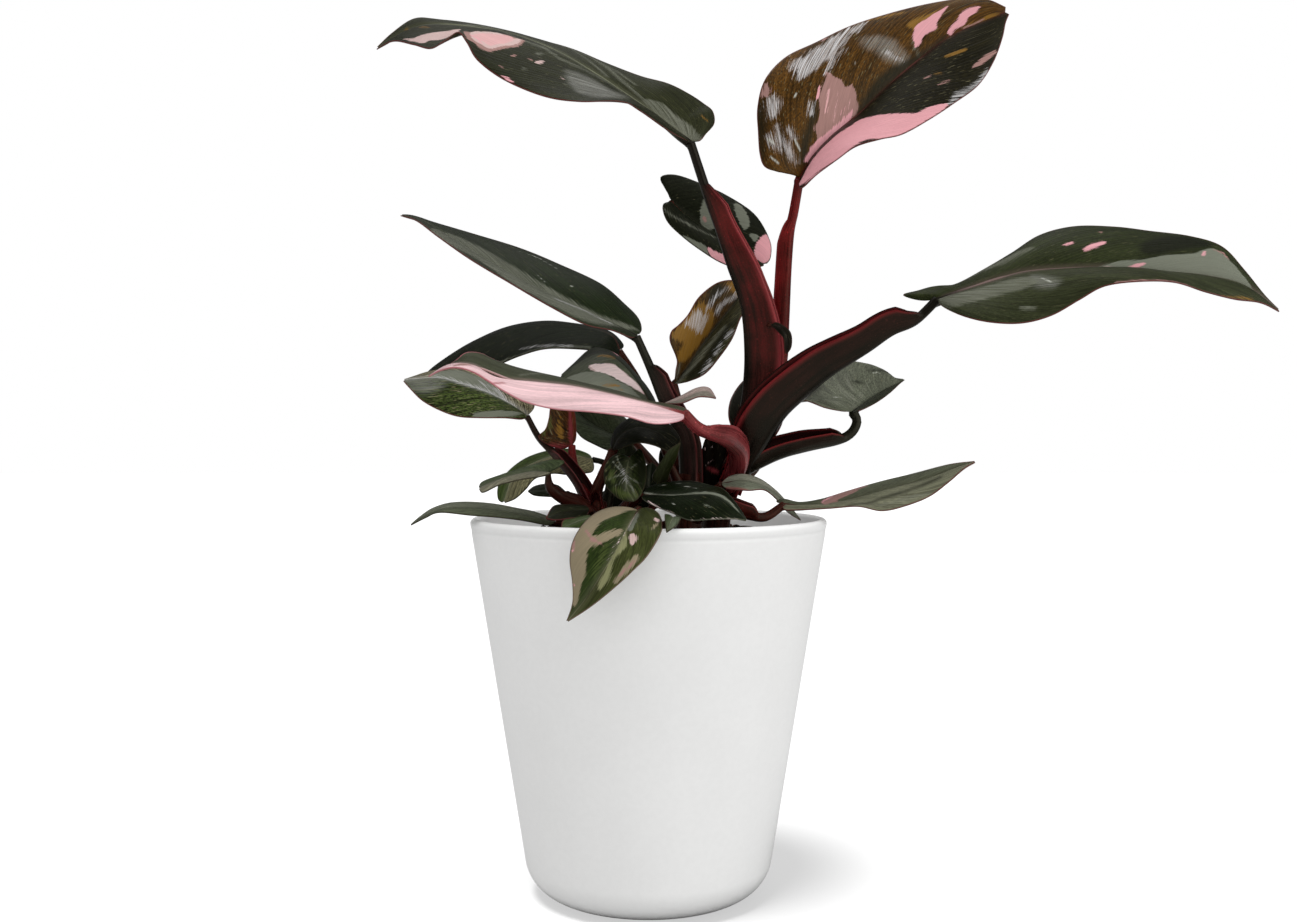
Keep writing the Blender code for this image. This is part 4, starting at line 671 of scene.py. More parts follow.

# Marks on the blades, in pixels of the photo: layer, half, and an outline. With a half width in mm they are
# strokes. They lie where the camera sees them on the blade. Many of them are painted reflections, glare,
# highlights and shade.
MARKS = {
    "top_left_blade": [
        ("blush", LEFT, [(463.5, 32), (471, 33), (483, 33), (496, 34), (507, 36), (514, 39), (522, 40),
            (524, 43), (518, 46), (513, 48), (504, 49), (498, 52), (488, 52), (480, 49), (474, 44),
            (467, 38)]),
        ("cream", LEFT, [(470, 34), (484, 33), (498, 34), (510, 38), (521, 41), (517, 45), (503, 47),
            (490, 50), (481, 46), (474, 40)]),
        ("rose", LEFT, [(474, 35), (486, 35), (499, 35), (509, 37), (514, 40), (506, 43), (498, 46),
            (489, 46), (483, 42), (478, 39)]),
        ("pink", LEFT, [(471, 36.5), (478, 40), (483, 46)], 0.6),
        ("cream", LEFT, [(404, 40), (413, 39), (421, 37), (433, 34), (446, 32), (460, 31), (456, 34),
            (450, 37), (441, 40.5), (432, 42), (424, 44), (414, 43)]),
        ("red", LEFT, [(441, 44), (447, 42), (451, 38), (456, 34)], 0.6),
        ("blush", LEFT, [(511, 56), (516, 56.5)], 0.5),
        ("cream", LEFT, [(536, 62), (543, 63)], 0.9),
        ("blush", LEFT, [(528, 60), (532, 60)], 0.4),
        ("pink", LEFT, [(503, 76), (513, 81)], 1),
        ("cream", LEFT, [(561, 79), (564, 79.5)], 0.6),
        ("sheen", LEFT, [(565, 85), (566, 86)], 0.4),
        ("blush", LEFT, [(503, 68), (504, 69)], 0.3),
        ("sheen", LEFT, [(523, 69), (525, 69)], 0.45),
        ("sheen", LEFT, [(536, 54), (542, 55)], 0.5),
        ("gold", EITHER, [(421, 28), (428, 28)], 0.5),
        ("gold", EITHER, [(406, 30), (409, 30)], 0.4),
        ("gold", RIGHT, [(703, 119), (705, 120)], 0.4),
        ("sheen", RIGHT, [(460, 26), (480, 27.5), (500, 31)], 1),
        ("sheen", EITHER, [(497, 31), (512, 37), (530, 43), (545, 49), (560, 59), (580, 69), (600, 79),
            (622, 92)], 0.9),
        ("sheen", RIGHT, [(556, 45), (575, 52), (590, 58), (606, 68), (622, 82), (640, 97)], 0.7),
        ("sheen", RIGHT, [(575, 54), (592, 65), (606, 77)], 0.5),
        ("sheen", RIGHT, [(600, 62), (618, 73), (636, 86)], 0.5),
        ("sheen", RIGHT, [(612, 72), (630, 88), (642, 99)], 0.6),
        ("sheen", EITHER, [(642, 99), (660, 104), (678, 118), (694, 130), (701, 140.5), (690, 140),
            (668, 124), (650, 108)]),
        ("haze", LEFT, [(566, 72), (588, 78), (610, 90), (628, 98), (605, 99), (585, 96), (572, 88)]),
    ],
    "top_right_blade": [
        ("blush", LEFT, [(828, 72), (835, 79), (841, 79), (845, 86), (850, 86), (855, 93), (858, 100),
            (858, 108), (854, 115), (848, 119), (838, 130), (830, 139), (822, 140), (817, 146),
            (816, 136), (815, 128), (818, 115), (819, 100), (821, 88), (824, 79)]),
        ("pink", LEFT, [(820, 86), (819.5, 100)], 0.5),
        ("pink", LEFT, [(845, 106), (842, 116)], 0.4),
        ("rose", LEFT, [(829, 90), (826, 112)], 0.2),
        ("rose", LEFT, [(838, 92), (833, 122)], 0.15),
        ("rose", LEFT, [(851, 100), (848, 112)], 0.2),
        ("dark", LEFT, [(833, 88), (829, 112)], 0.2),
        ("dark", LEFT, [(843, 96), (838, 120)], 0.2),
        ("pink", LEFT, [(805, 162), (811, 147), (818, 139), (828, 133), (840, 122), (852, 109),
            (852, 118), (840, 129), (828, 140), (818, 151), (810, 160)]),
        ("pink", RIGHT, [(800, 187), (803, 179), (808, 169), (816, 157), (826, 146), (837, 136),
            (848, 128), (860, 121), (872, 118), (888, 115), (905, 115), (918, 112), (930, 107),
            (948, 104), (940, 113), (925, 122), (912, 131), (898, 136), (884, 139), (870, 140),
            (860, 143), (850, 149), (840, 157), (830, 166), (815, 177)]),
        ("pink", LEFT, [(948, 7), (944, 12), (940, 20), (936, 28), (930, 33), (925, 38), (923, 44),
            (917, 49), (915, 43), (912, 38), (914, 32), (918, 26), (926, 20), (935, 15), (942, 11)]),
        ("pink", LEFT, [(981, 8), (975, 12), (970, 18), (965, 24), (960, 27), (955, 30), (951, 35),
            (949, 33), (951, 26), (956, 20), (962, 14), (970, 9), (976, 7)]),
        ("gold", LEFT, [(1000, 14), (990, 20), (982, 23), (972, 26), (961, 29), (968, 25), (978, 20),
            (988, 15)]),
        ("blush", LEFT, [(985, 20), (972, 25), (960, 29)], 0.5),
        ("gold", RIGHT, [(946, 56), (955, 53), (965, 50.5)], 0.9),
        ("blush", RIGHT, [(996, 49), (990, 52), (984, 57), (978, 62), (971, 68), (980, 66), (988, 61),
            (994, 55)]),
        ("blush", RIGHT, [(923, 79), (931, 76)], 0.5),
        ("gold", RIGHT, [(936, 76), (941, 73)], 0.4),
        ("blush", RIGHT, [(938, 86), (948, 82)], 0.5),
        ("pale", RIGHT, [(948, 103), (955, 95), (965, 90), (975, 83), (983, 75), (988, 70), (984, 80),
            (975, 88), (962, 96), (952, 103)]),
        ("pale", LEFT, [(797, 59.5), (805, 57), (812, 50), (822, 45), (830, 40), (838, 35), (846, 30),
            (856, 27), (864, 24), (858, 32), (850, 36), (846, 44), (838, 50), (832, 58), (824, 63),
            (815, 71), (808, 76), (799, 81), (796, 75), (793, 68)]),
        ("pale", LEFT, [(768, 98), (776, 96), (778, 105), (778, 113), (774, 118.5), (769, 112),
            (767, 104)]),
        ("fleck", LEFT, [(776, 62), (783, 58), (790, 57)], 0.2),
        ("fleck", LEFT, [(768, 75), (775, 68)], 0.2),
        ("pale", LEFT, [(826, 76), (834, 62), (842, 50)], 0.5),
        ("blush", LEFT, [(762, 92), (766, 84), (770, 91), (768, 98), (763, 97)]),
        ("blush", LEFT, [(822, 42), (828, 38)], 0.7),
        ("pale", LEFT, [(776, 126), (783, 134), (790, 148), (797, 164), (789, 157), (781, 146),
            (775, 136)]),
        ("pale", LEFT, [(784, 153), (774, 143), (768, 134)], 0.15),
        ("fleck", LEFT, [(774, 146), (768, 137)], 0.15),
        ("pale", LEFT, [(795, 141), (787, 128)], 0.2),
        ("fleck", LEFT, [(779, 164), (770, 157)], 0.15),
        ("fleck", LEFT, [(800, 152), (795, 140)], 0.25),
        ("pale", LEFT, [(812, 104), (810, 114)], 0.2),
        ("fleck", LEFT, [(856, 62), (854, 68)], 0.25),
        ("fleck", LEFT, [(796, 92), (795, 100)], 0.25),
        ("haze", LEFT, [(862, 40), (876, 37), (890, 40), (897, 46), (904, 50), (908, 59), (901, 65),
            (890, 62), (880, 57), (872, 51), (864, 48)]),
        ("pale", LEFT, [(886, 52), (896, 57), (902, 60)], 0.5),
        ("sheen", LEFT, [(915, 42), (916, 56)], 1.1),
        ("gold", LEFT, [(908, 26), (916, 20), (928, 15), (936, 12), (930, 18), (920, 24), (913, 31)]),
        ("gold", LEFT, [(868, 22), (885, 17), (905, 12)], 0.7),
        ("dark", LEFT, [(852, 116), (880, 78), (905, 60), (925, 50), (945, 36), (940, 45), (912, 68),
            (885, 92), (866, 112)]),
        ("dark", LEFT, [(759, 100), (764, 106), (767, 130), (764, 158), (759, 150), (757, 125)]),
        ("dark", LEFT, [(806, 163), (816, 120), (814, 100), (808, 120), (800, 150)]),
    ],
    "right_blade": [
        ("grey", LEFT, [(1098, 268), (1116, 262), (1141, 259), (1166, 256), (1191, 253), (1208, 249),
            (1218, 252), (1231, 262), (1241, 275), (1253, 290), (1261, 298), (1246, 290), (1226, 281),
            (1198, 278), (1166, 275), (1141, 272), (1116, 270)]),
        ("cream", LEFT, [(1102, 267.5), (1114, 268.5)], 0.5),
        ("pink", LEFT, [(1128, 270), (1145, 265)], 0.8),
        ("pink", LEFT, [(1201, 254), (1205, 253)], 0.9),
        ("blush", LEFT, [(1212, 249), (1222, 254), (1228, 260)], 0.6),
        ("pink", LEFT, [(1085, 251), (1106, 244)], 1.3),
        ("pink", LEFT, [(1065, 246), (1073, 243)], 0.7),
        ("blush", LEFT, [(1100, 234), (1102, 234)], 0.4),
        ("haze", RIGHT, [(1032, 275), (1050, 278), (1060, 281), (1052, 288), (1038, 286)]),
        ("fleck", RIGHT, [(1041, 278), (1052, 282)], 0.3),
        ("sheen", RIGHT, [(1020, 309), (1036, 309)], 0.7),
        ("sheen", RIGHT, [(935, 300), (960, 294), (1000, 283), (1030, 277), (1035, 284), (1000, 296),
            (960, 306), (940, 305)]),
        ("sheen", LEFT, [(955, 284), (990, 268), (1030, 250)], 1.5),
        ("dark", LEFT, [(1150, 240), (1180, 237), (1205, 243), (1210, 248), (1180, 252), (1150, 255),
            (1140, 250)]),
        ("blush", RIGHT, [(1116, 282), (1150, 283), (1175, 285), (1195, 289)], 0.7),
        ("gold", RIGHT, [(1223, 298), (1251, 300)], 0.2),
    ],
    "left_blade": [
        ("sheen", EITHER, [(430, 230), (450, 235), (480, 248), (520, 271), (560, 294), (600, 315),
            (640, 334), (600, 325), (560, 310), (520, 288), (480, 262), (450, 245)]),
        ("pale", EITHER, [(557, 300.5), (583, 311), (610, 324)], 0.4),
        ("fleck", RIGHT, [(519, 252), (538, 259), (557, 269)], 0.3),
        ("fleck", RIGHT, [(571, 287), (572, 287)], 0.4),
        ("fleck", RIGHT, [(538, 276), (546, 283)], 0.2),
    ],
    "arching_blade": [
        ("pale", EITHER, [(522, 350), (545, 347), (572, 347)], 0.4),
        ("sheen", EITHER, [(480, 372), (520, 357), (560, 350), (590, 349)], 0.8),
    ],
    "speckled_blade": [
        ("pale", EITHER, [(437, 377), (457, 382), (477, 388), (497, 395), (512, 405)], 0.9),
        ("pale", EITHER, [(482, 384), (497, 392), (508, 402)], 0.9),
        ("grey", EITHER, [(434, 375), (455, 371), (475, 376), (490, 385), (503, 398), (480, 390),
            (460, 383), (440, 378)]),
        ("haze", LEFT, [(402, 379), (425, 379), (447, 384), (430, 393), (412, 391)]),
        ("grey", LEFT, [(472, 416), (480, 412), (497, 411), (513, 412), (522, 414), (507, 417),
            (483, 418)]),
    ],
    "pink_blade": [
        ("red", EITHER, [(450, 370), (466, 372), (478, 377), (492, 386), (505, 384)], 1),
        ("blush", EITHER, [(455, 366), (470, 366)], 1.6),
        ("red", EITHER, [(436, 375), (452, 371)], 0.6),
        ("sheen", RIGHT, [(520, 376), (560, 378), (600, 381), (640, 388)], 1.2),
    ],
    "hooded_blade": [
        ("grey", LEFT, [(566, 380), (576, 375), (590, 372), (604, 374), (616, 380), (628, 387),
            (638, 396), (646, 403), (630, 400), (610, 394), (590, 391), (574, 386)]),
        ("cream", LEFT, [(589, 366), (600, 365), (614, 365), (621, 371), (630, 378), (640, 388),
            (643, 394), (634, 389), (622, 382), (610, 376), (600, 373), (592, 371)]),
        ("white", LEFT, [(590, 366), (602, 365.5), (614, 366), (621, 372), (630, 379), (638, 387),
            (641, 392), (630, 386), (618, 380.5), (606, 374.5), (596, 372)]),
        ("sheen", LEFT, [(570, 388), (600, 386), (625, 392)], 2.2),
        ("gold", EITHER, [(599, 357), (606, 356), (613, 358)], 1.1),
        ("pink", RIGHT, [(607, 350), (612, 352), (618, 357)], 0.8),
        ("gold", LEFT, [(602, 386), (612, 385), (620, 388)], 0.4),
    ],
    "behind_blade": [
        ("sheen", RIGHT, [(661, 208), (681, 221), (698, 230), (714.5, 238)], 0.5),
        ("grey", LEFT, [(701, 206), (712, 200), (718, 225), (708, 232), (701, 222)]),
        ("grey", LEFT, [(736, 203), (746, 213), (748, 225), (743, 230), (735, 213)]),
        ("grey", LEFT, [(749, 235), (758, 235.5), (755, 243)]),
        ("pink", LEFT, [(755, 245), (763, 236), (769, 238), (772, 250), (769, 261), (761, 267),
            (755, 256)]),
        ("pink", RIGHT, [(708, 248), (718, 253), (728, 256), (731, 268), (720, 265), (710, 256)]),
        ("grey", RIGHT, [(680, 236), (696, 242), (706, 247), (708, 256), (695, 249)]),
        ("blush", LEFT, [(704, 216), (705, 221)], 0.8),
    ],
    "golden_blade": [
        ("gold", LEFT, [(675, 331), (684, 321), (692, 312), (700, 304), (706, 305), (714, 316),
            (709, 331), (702, 340), (694, 350), (686, 359), (678, 362), (678, 352), (684, 344),
            (677, 340), (671, 336)]),
        ("gold", LEFT, [(727, 283), (738, 281), (740, 290), (738, 298), (731, 292)]),
        ("dark", LEFT, [(712, 288), (720, 284), (724, 292), (716, 300), (708, 300)]),
        ("pale", LEFT, [(686, 325), (690, 318), (697, 311), (703, 313), (706, 318), (703, 325),
            (700, 333), (697, 331), (693, 328)]),
        ("pale", LEFT, [(714, 314), (718, 306), (724, 300), (731, 295), (737, 290), (738, 296),
            (730, 302), (722, 308), (717, 315)]),
        ("pale", LEFT, [(714, 299), (728, 287)], 0.7),
        ("pale", LEFT, [(705, 310), (713, 300)], 0.4),
        ("sheen", RIGHT, [(677, 384), (690, 370), (700, 358), (712, 343), (725, 328)], 1.8),
        ("sheen", LEFT, [(676, 378), (678.5, 366), (682, 360)], 0.7),
        ("dark", RIGHT, [(690, 382), (705, 371), (718, 350), (728, 334), (737, 318), (728, 326),
            (715, 342), (702, 361), (690, 374)]),
        ("pale", RIGHT, [(703, 374), (711, 361)], 0.6),
        ("pale", RIGHT, [(715, 354), (721, 345)], 0.5),
        ("pale", RIGHT, [(726, 338), (732, 331)], 0.7),
    ],
    "right_middle_blade": [
        ("dark", LEFT, [(856, 382), (863, 384)], 1.1),
        ("fleck", LEFT, [(872, 374), (877, 373.5), (881, 375)], 0.3),
        ("fleck", LEFT, [(831, 398), (842, 398)], 0.25),
        ("sheen", LEFT, [(855, 407), (846, 396), (838, 386)], 0.35),
        ("sheen", LEFT, [(856, 405), (852, 390), (846, 376)], 0.35),
        ("sheen", LEFT, [(858, 404), (864, 390), (872, 378)], 0.35),
        ("sheen", LEFT, [(852, 408), (838, 404), (822, 400)], 0.35),
        ("dark", LEFT, [(800, 402), (812, 394), (822, 388)], 0.8),
        ("dark", LEFT, [(868, 372), (880, 371), (890, 375), (902, 381)], 0.9),
    ],
    "low_right_blade": [
        ("blush", EITHER, [(822, 504), (834, 497), (850, 490.5), (868, 486), (860, 490), (850, 495),
            (838, 501), (826, 505.5)]),
        ("pink", LEFT, [(822, 503), (834, 496.5), (848, 490.5), (866, 485)], 0.35),
        ("sheen", RIGHT, [(880, 506), (905, 500), (930, 492)], 1),
        ("dark", EITHER, [(850, 506), (880, 500), (915, 489), (940, 478)], 1),
    ],
    "front_blade": [
        ("grey", EITHER, [(643, 493), (655, 495), (671, 496), (691, 494), (712, 494), (722, 497),
            (731, 504), (738, 512)], 0.85),
        ("fleck", EITHER, [(643, 493), (655, 495), (671, 496)], 0.15),
        ("fleck", LEFT, [(658, 486.5), (667, 486)], 0.2),
        ("fleck", LEFT, [(684, 487), (697, 489)], 0.2),
        ("fleck", LEFT, [(676, 484.5), (682, 484)], 0.15),
        ("fleck", LEFT, [(655, 484), (656, 484)], 0.15),
        ("grey", RIGHT, [(703, 505), (711, 508)], 0.4),
        ("fleck", RIGHT, [(672, 503), (676, 506)], 0.15),
        ("fleck", RIGHT, [(690, 513), (691, 514)], 0.15),
        ("fleck", RIGHT, [(718, 515), (719, 515)], 0.15),
        ("white", RIGHT, [(690, 521.5), (712, 522), (728, 519.5), (738, 521)], 0.2),
        ("white", RIGHT, [(648, 502), (660, 511), (672, 518)], 0.18),
    ],
    "striped_blade": [
        ("sheen", EITHER, [(724, 484), (743, 477), (771, 489), (783, 500)], 0.7),
        ("red", RIGHT, [(726, 489), (747, 493)], 0.4),
    ],
    "hanging_blade": [
        ("khaki", RIGHT, [(615, 507), (597, 512), (585, 521), (576, 532), (571, 545), (570, 560),
            (571, 577), (572, 592), (573, 605), (576, 605), (580, 592), (583, 580), (586, 570),
            (587, 559), (590, 550), (599, 546), (610, 541), (620, 535), (622, 530), (615, 530),
            (605, 534), (597, 537), (592, 536), (594, 531), (602, 522), (615, 516), (627, 512),
            (637, 509.5), (630, 506)]),
        ("grey", RIGHT, [(583, 524), (594, 514), (612, 508), (634, 508), (627, 512), (614, 516),
            (602, 522), (594, 530), (586, 533)]),
        ("blush", RIGHT, [(574, 540), (573, 551)], 0.7),
        ("blush", RIGHT, [(586, 531), (592, 540), (602, 546)], 0.6),
        ("pink", RIGHT, [(573, 583), (575, 585)], 0.35),
        ("pink", RIGHT, [(573, 552), (574, 549)], 0.35),
        ("olive", LEFT, [(627, 529), (627, 540), (626, 547), (619, 555), (613, 562), (611, 577),
            (603, 587), (599, 590), (599, 582), (605, 572), (609, 562), (615, 550), (621, 538),
            (625, 531)]),
        ("grey", LEFT, [(638, 514), (636, 524), (631, 532), (628, 529)]),
        ("green", RIGHT, [(606, 545), (600, 560), (594, 575)], 0.8),
        ("white", EITHER, [(638, 511), (630, 526), (615, 546), (607, 560)], 0.12),
        ("cream", LEFT, [(629, 536), (635, 534), (637, 539), (634, 545), (630, 543)]),
        ("khaki", LEFT, [(614, 581), (625, 566), (636, 555), (638, 559), (630, 569), (618, 582)]),
        ("blush", LEFT, [(620, 575), (634, 561)], 0.4),
        ("cream", LEFT, [(655, 519), (658, 522)], 0.9),
        ("khaki", LEFT, [(652, 530), (657, 524)], 0.5),
    ],
    "crinkled_blade": [
        ("green", EITHER, [(616, 490), (624, 495), (634, 496)], 1.5),
        ("green", EITHER, [(610, 470), (613, 482)], 0.8),
        ("pale", EITHER, [(622, 470), (625, 477), (628, 482)], 0.3),
        ("grey", EITHER, [(623, 474), (618, 468), (613, 462)], 0.2),
        ("grey", EITHER, [(624, 470), (619, 463), (617, 457)], 0.2),
        ("grey", EITHER, [(626, 472), (633, 467), (641, 461)], 0.2),
        ("grey", EITHER, [(622, 476), (616, 477), (610, 480)], 0.2),
        ("grey", EITHER, [(623, 478), (618, 485), (614, 489)], 0.2),
        ("grey", EITHER, [(626, 480), (625, 489), (623, 497)], 0.2),
        ("grey", EITHER, [(627, 480), (632, 488), (636, 497)], 0.25),
        ("grey", EITHER, [(628, 478), (635, 482), (641, 484)], 0.2),
        ("dark", LEFT, [(636, 455), (642, 470), (641, 486)], 2),
    ],
    "scale_blade": [
        ("white", EITHER, [(711, 447), (713, 445.8)], 0.35),
        ("cream", EITHER, [(704, 449.5), (706, 448.5)], 0.3),
        ("cream", EITHER, [(706, 465), (709, 462), (713, 460)], 0.25),
        ("red", EITHER, [(708, 468), (713, 470), (718, 472)], 0.9),
    ],
    "furled_blade": [
        ("gold", LEFT, [(559, 420), (561, 438)], 0.8),
        ("green", LEFT, [(549, 418), (547, 428), (541, 436)], 0.7),
        ("red", LEFT, [(549, 446), (560, 447), (570, 446)], 0.7),
        ("red", EITHER, [(570, 412), (571, 428), (571, 444)], 1.2),
    ],
}

# The colours of each petiole: its back, its wings, its channel and the edges of its wings
PETIOLE_COLORS = {
    "top_left_blade": ((17, 11, 9), (70, 12, 14), (30, 9, 9), (150, 52, 58)),
    "top_right_blade": ((84, 12, 14), (96, 16, 18), (60, 10, 12), (150, 62, 68)),
    "right_blade": ((15, 12, 9), (28, 10, 8), (44, 10, 11), (126, 34, 38)),
    # pink_blade's channel is near black: painted shade inside its open sheath
    "pink_blade": ((110, 43, 45), (106, 39, 41), (18, 11, 10), (140, 66, 68)),
    "right_middle_blade": ((26, 26, 18), (24, 14, 11), (34, 9, 9), (120, 30, 34)),
    "left_blade": ((24, 24, 19), (40, 18, 18), (44, 20, 18), (92, 36, 38)),
    "furled_blade": ((96, 20, 22), (96, 20, 22), (96, 20, 22), (130, 50, 56)),
    "streaked_blade": ((26, 24, 16), (26, 24, 16), (26, 24, 16), (60, 40, 32)),
    "speckled_blade": ((34, 22, 18), (52, 16, 17), (40, 12, 12), (124, 60, 62)),
}
PETIOLE_DEFAULT = ((58, 23, 17), (64, 20, 16), (46, 14, 12), (110, 40, 42))

# Round a sheath, as shares of the way: one wing's edge lies at 0, the middle of the back and the other
# wing's edge as given here, and then the channel. How far from the middle of the back the wings start, and
# how wide the line on their edges is.
BACK_MIDDLE = 0.3
WING_EDGE = 0.6
CHANNEL_STARTS = (0.61, 0.66)
CHANNEL_ENDS = (0.99, 0.95)
WING_STARTS = (0.08, 0.25)
WING_WANDER = (0.16, 0.14)
EDGE_LINE = (0.045, 0.01)
EDGE_SPAN = (0.3, 0.6)
EDGE_COVER = (0.5, 0.95)

# Skin of the petioles: scales of its streaks, its noises (streaks, then patches, grain and dots, each with
# scale, detail and roughness), its tones, and where the rib under a blade turns to the blade's colour, in mm
ROUND_SCALE = 26
LENGTH_SCALE = 0.03
STREAK_NOISE = (1.0, 4.0, 0.65)
PETIOLE_NOISES = [(60.0, 2.0, 0.5), (1500.0, 3.0, 0.6), (900.0, 1.0, 0.4)]
STREAK_TONES = (0.6, 1.6)
PATCH_TONES = (0.7, 1.35)
GRAIN_TONES = (0.82, 1.18)
DOT_SPAN = (0.7, 0.76)
DOT_TONE = 2.4
RIB_TURNS = (4, 22)
PETIOLE_GLOSS = 0.22
PETIOLE_ROUGHNESS = (0.2, 0.38)
PETIOLE_BUMP = (0.35, 0.0006)
GRAIN_RELIEF = 0.15

# Glaze: its noises (mottling, clouds and dimples) and tones
GLAZE_NOISES = [(420.0, 3.0, 0.6), (28.0, 2.0, 0.5), (90.0, 2.0, 0.5)]
MOTTLING_TONES = (0.99, 1.01)
CLOUD_TONES = (0.985, 1.01)
MOTTLING_RELIEF = 0.1
GLAZE_ROUGHNESS = (0.3, 0.36)
GLAZE_BUMP = (0.06, 0.0006)

# Soil: its noises (grains and clumps) and the parts of their range in which clumps and flecks show
SOIL_NOISES = [(900.0, 3.0, 0.7), (260.0, 3.0, 0.6)]
CLUMP_SPAN = (0.42, 0.66)
FLECK_SPAN = (0.6, 0.7)
FLECK_COVER = 0.8
SOIL_ROUGHNESS = 0.95
SOIL_GLOSS = 0.2
SOIL_BUMP = (0.8, 0.001)


# Building curves and surfaces


def cubic(before, start, end, after, t):
    """Points at the share t of the way from start to end, on a smooth curve through all four."""
    return 0.5 * (2 * start + (end - before) * t
                  + (2 * before - 5 * start + 4 * end - after) * t ** 2
                  + (3 * start - before - 3 * end + after) * t ** 3)


def shares_of(count):
    return np.arange(count)[:, None] / count


def smooth_curve(points, steps):
    """steps + 1 evenly spaced points on a smooth curve through the given ones, and its length."""
    given = np.array(points, float)
    ends = np.vstack([2 * given[0] - given[1], given, 2 * given[-1] - given[-2]])
    t = shares_of(CURVE_DIVISIONS)
    parts = [cubic(*four, t) for four in zip(ends, ends[1:], ends[2:], ends[3:])]
    fine = np.vstack([*parts, given[-1:]])
    lengths = np.concatenate([[0], np.cumsum(np.linalg.norm(np.diff(fine, axis=0), axis=1))])
    wanted = np.linspace(0, lengths[-1], steps + 1)
    curve = np.stack([np.interp(wanted, lengths, fine[:, axis]) for axis in range(3)], axis=1)
    return curve, lengths[-1]


def closed_curve(points):
    """A smooth closed curve through the points, with RING_DIVISIONS steps between two of them."""
    given = np.array(points, float)
    fours = zip(np.roll(given, 1, axis=0), given, np.roll(given, -1, axis=0), np.roll(given, -2, axis=0))
    return np.vstack([cubic(*four, shares_of(RING_DIVISIONS)) for four in fours])


def at_share(curve, share):
    """Points at shares of a curve of evenly spaced points."""
    place = np.clip(share, 0, 1) * (len(curve) - 1)
    low = np.minimum(place.astype(int), len(curve) - 2)
    part = (place - low)[:, None]
    return curve[low] * (1 - part) + curve[low + 1] * part


def unit(vectors):
    return vectors / np.linalg.norm(vectors, axis=1, keepdims=True)


def smooth_step(value, low, high):
    part = np.clip((value - low) / (high - low), 0, 1)
    return part * part * (3 - 2 * part)


class Blade:
    """The surface of a blade: u runs from base to tip, v from the right margin over the rib to the left."""

    def __init__(self, rib, left, right, bulge=BULGE):
        self.middle, self.length = smooth_curve(rib, RIB_STEPS)
        self.left, _ = smooth_curve([rib[0], *left, rib[-1]], RIB_STEPS)
        self.right, _ = smooth_curve([rib[0], *right, rib[-1]], RIB_STEPS)
        self.bulge = bulge

    def spread(self, u):
        """Points of the rib, its direction there, and vectors from them to the left and right margin."""
        share = u ** VEIN_FAN
        on_rib = at_share(self.middle, share)
        along = unit(at_share(self.middle, share + RIB_REACH) - at_share(self.middle, share - RIB_REACH))
        return on_rib, along, at_share(self.left, u) - on_rib, at_share(self.right, u) - on_rib

    def place(self, u, v):
        """Points of the surface and its normals."""
        on_rib, along, to_left, to_right = self.spread(u)
        is_left = (v > 0)[:, None]
        out = np.abs(v)[:, None]
        up_left = np.cross(along, to_left)
        up_right = -np.cross(along, to_right)
        across = np.where(is_left, to_left, to_right)
        upward = np.where(is_left, up_left, up_right)
        points = on_rib + across * out + upward * self.bulge * 4 * out * (1 - out)
        share_left = smooth_step(v, -0.2, 0.2)[:, None]
        normals = unit(up_left * share_left + up_right * (1 - share_left))
        return points, normals

    def flat(self, u, v):
        """The same points on the flattened blade: millimetres along and across it, and its half width."""
        _, _, to_left, to_right = self.spread(u)
        width = np.linalg.norm(np.where((v > 0)[:, None], to_left, to_right), axis=1)
        out = np.abs(v)
        along = self.length * (u ** VEIN_FAN * (1 - out) + u * out)
        return np.stack([along, v * width], axis=1), width


# Marks on the blades


def seen_at(points):
    """The pixels of the photo at which points are seen."""
    tilt = math.radians(CAMERA_TILT)
    x, y, z = (points - CAMERA_PLACE).T
    depth = y * math.cos(tilt) - z * math.sin(tilt)
    height = y * math.sin(tilt) + z * math.cos(tilt)
    return np.stack([PHOTO_MIDDLE[0] + FOCAL_LENGTH * x / depth,
                     PHOTO_MIDDLE[1] - FOCAL_LENGTH * height / depth], axis=1)


def blade_spots(blade):
    """Spots (u, v) all over a blade, and the pixels at which they are seen."""
    u, v = np.meshgrid(np.arange(1, SPOTS_ALONG) / SPOTS_ALONG,
                       np.linspace(-1, 1, 2 * SPOTS_ACROSS + 1), indexing="ij")
    points, _ = blade.place(u.ravel(), v.ravel())
    kept_v = np.round(v.ravel() * KEPT_ACROSS) / KEPT_ACROSS
    return np.stack([u.ravel(), kept_v], axis=1), seen_at(points)


def nearest_spots(spots, seen, half, outline):
    """The spots in one half of a blade, or in both, that are seen nearest to the pixels of an outline."""
    in_half = half * spots[:, 1] >= 0
    spots, seen = spots[in_half], seen[in_half]
    found = [spots[np.linalg.norm(seen - pixel, axis=1).argmin()] for pixel in outline]
    kept = [found[0]] + [spot for before, spot in zip(found, found[1:]) if tuple(spot) != tuple(before)]
    if len(kept) == 1:
        kept.append(kept[0] + (1 / SPOTS_ALONG, 0))
    return np.array(kept)


def segment_distance(points, start, end):
    """Distance of points from a segment, and the share of the segment that is nearest."""
    span = end - start
    share = np.clip((points - start) @ span / max(span @ span, 1 / FAR), 0, 1)
    return np.linalg.norm(points - start - share[:, None] * span, axis=1), share


def stroke_depth(points, stroke, half_width):
    """How far inside a stroke that thins out to both ends each point lies, in mm; outside it is negative."""
    nearest = np.full(len(points), FAR)
    count = len(stroke) - 1
    for index in range(count):
        distance, share = segment_distance(points, stroke[index], stroke[index + 1])
        thickness = 1 - 0.5 * abs(2 * (index + share) / count - 1)
        nearest = np.minimum(nearest, distance - half_width * thickness)
    return -nearest


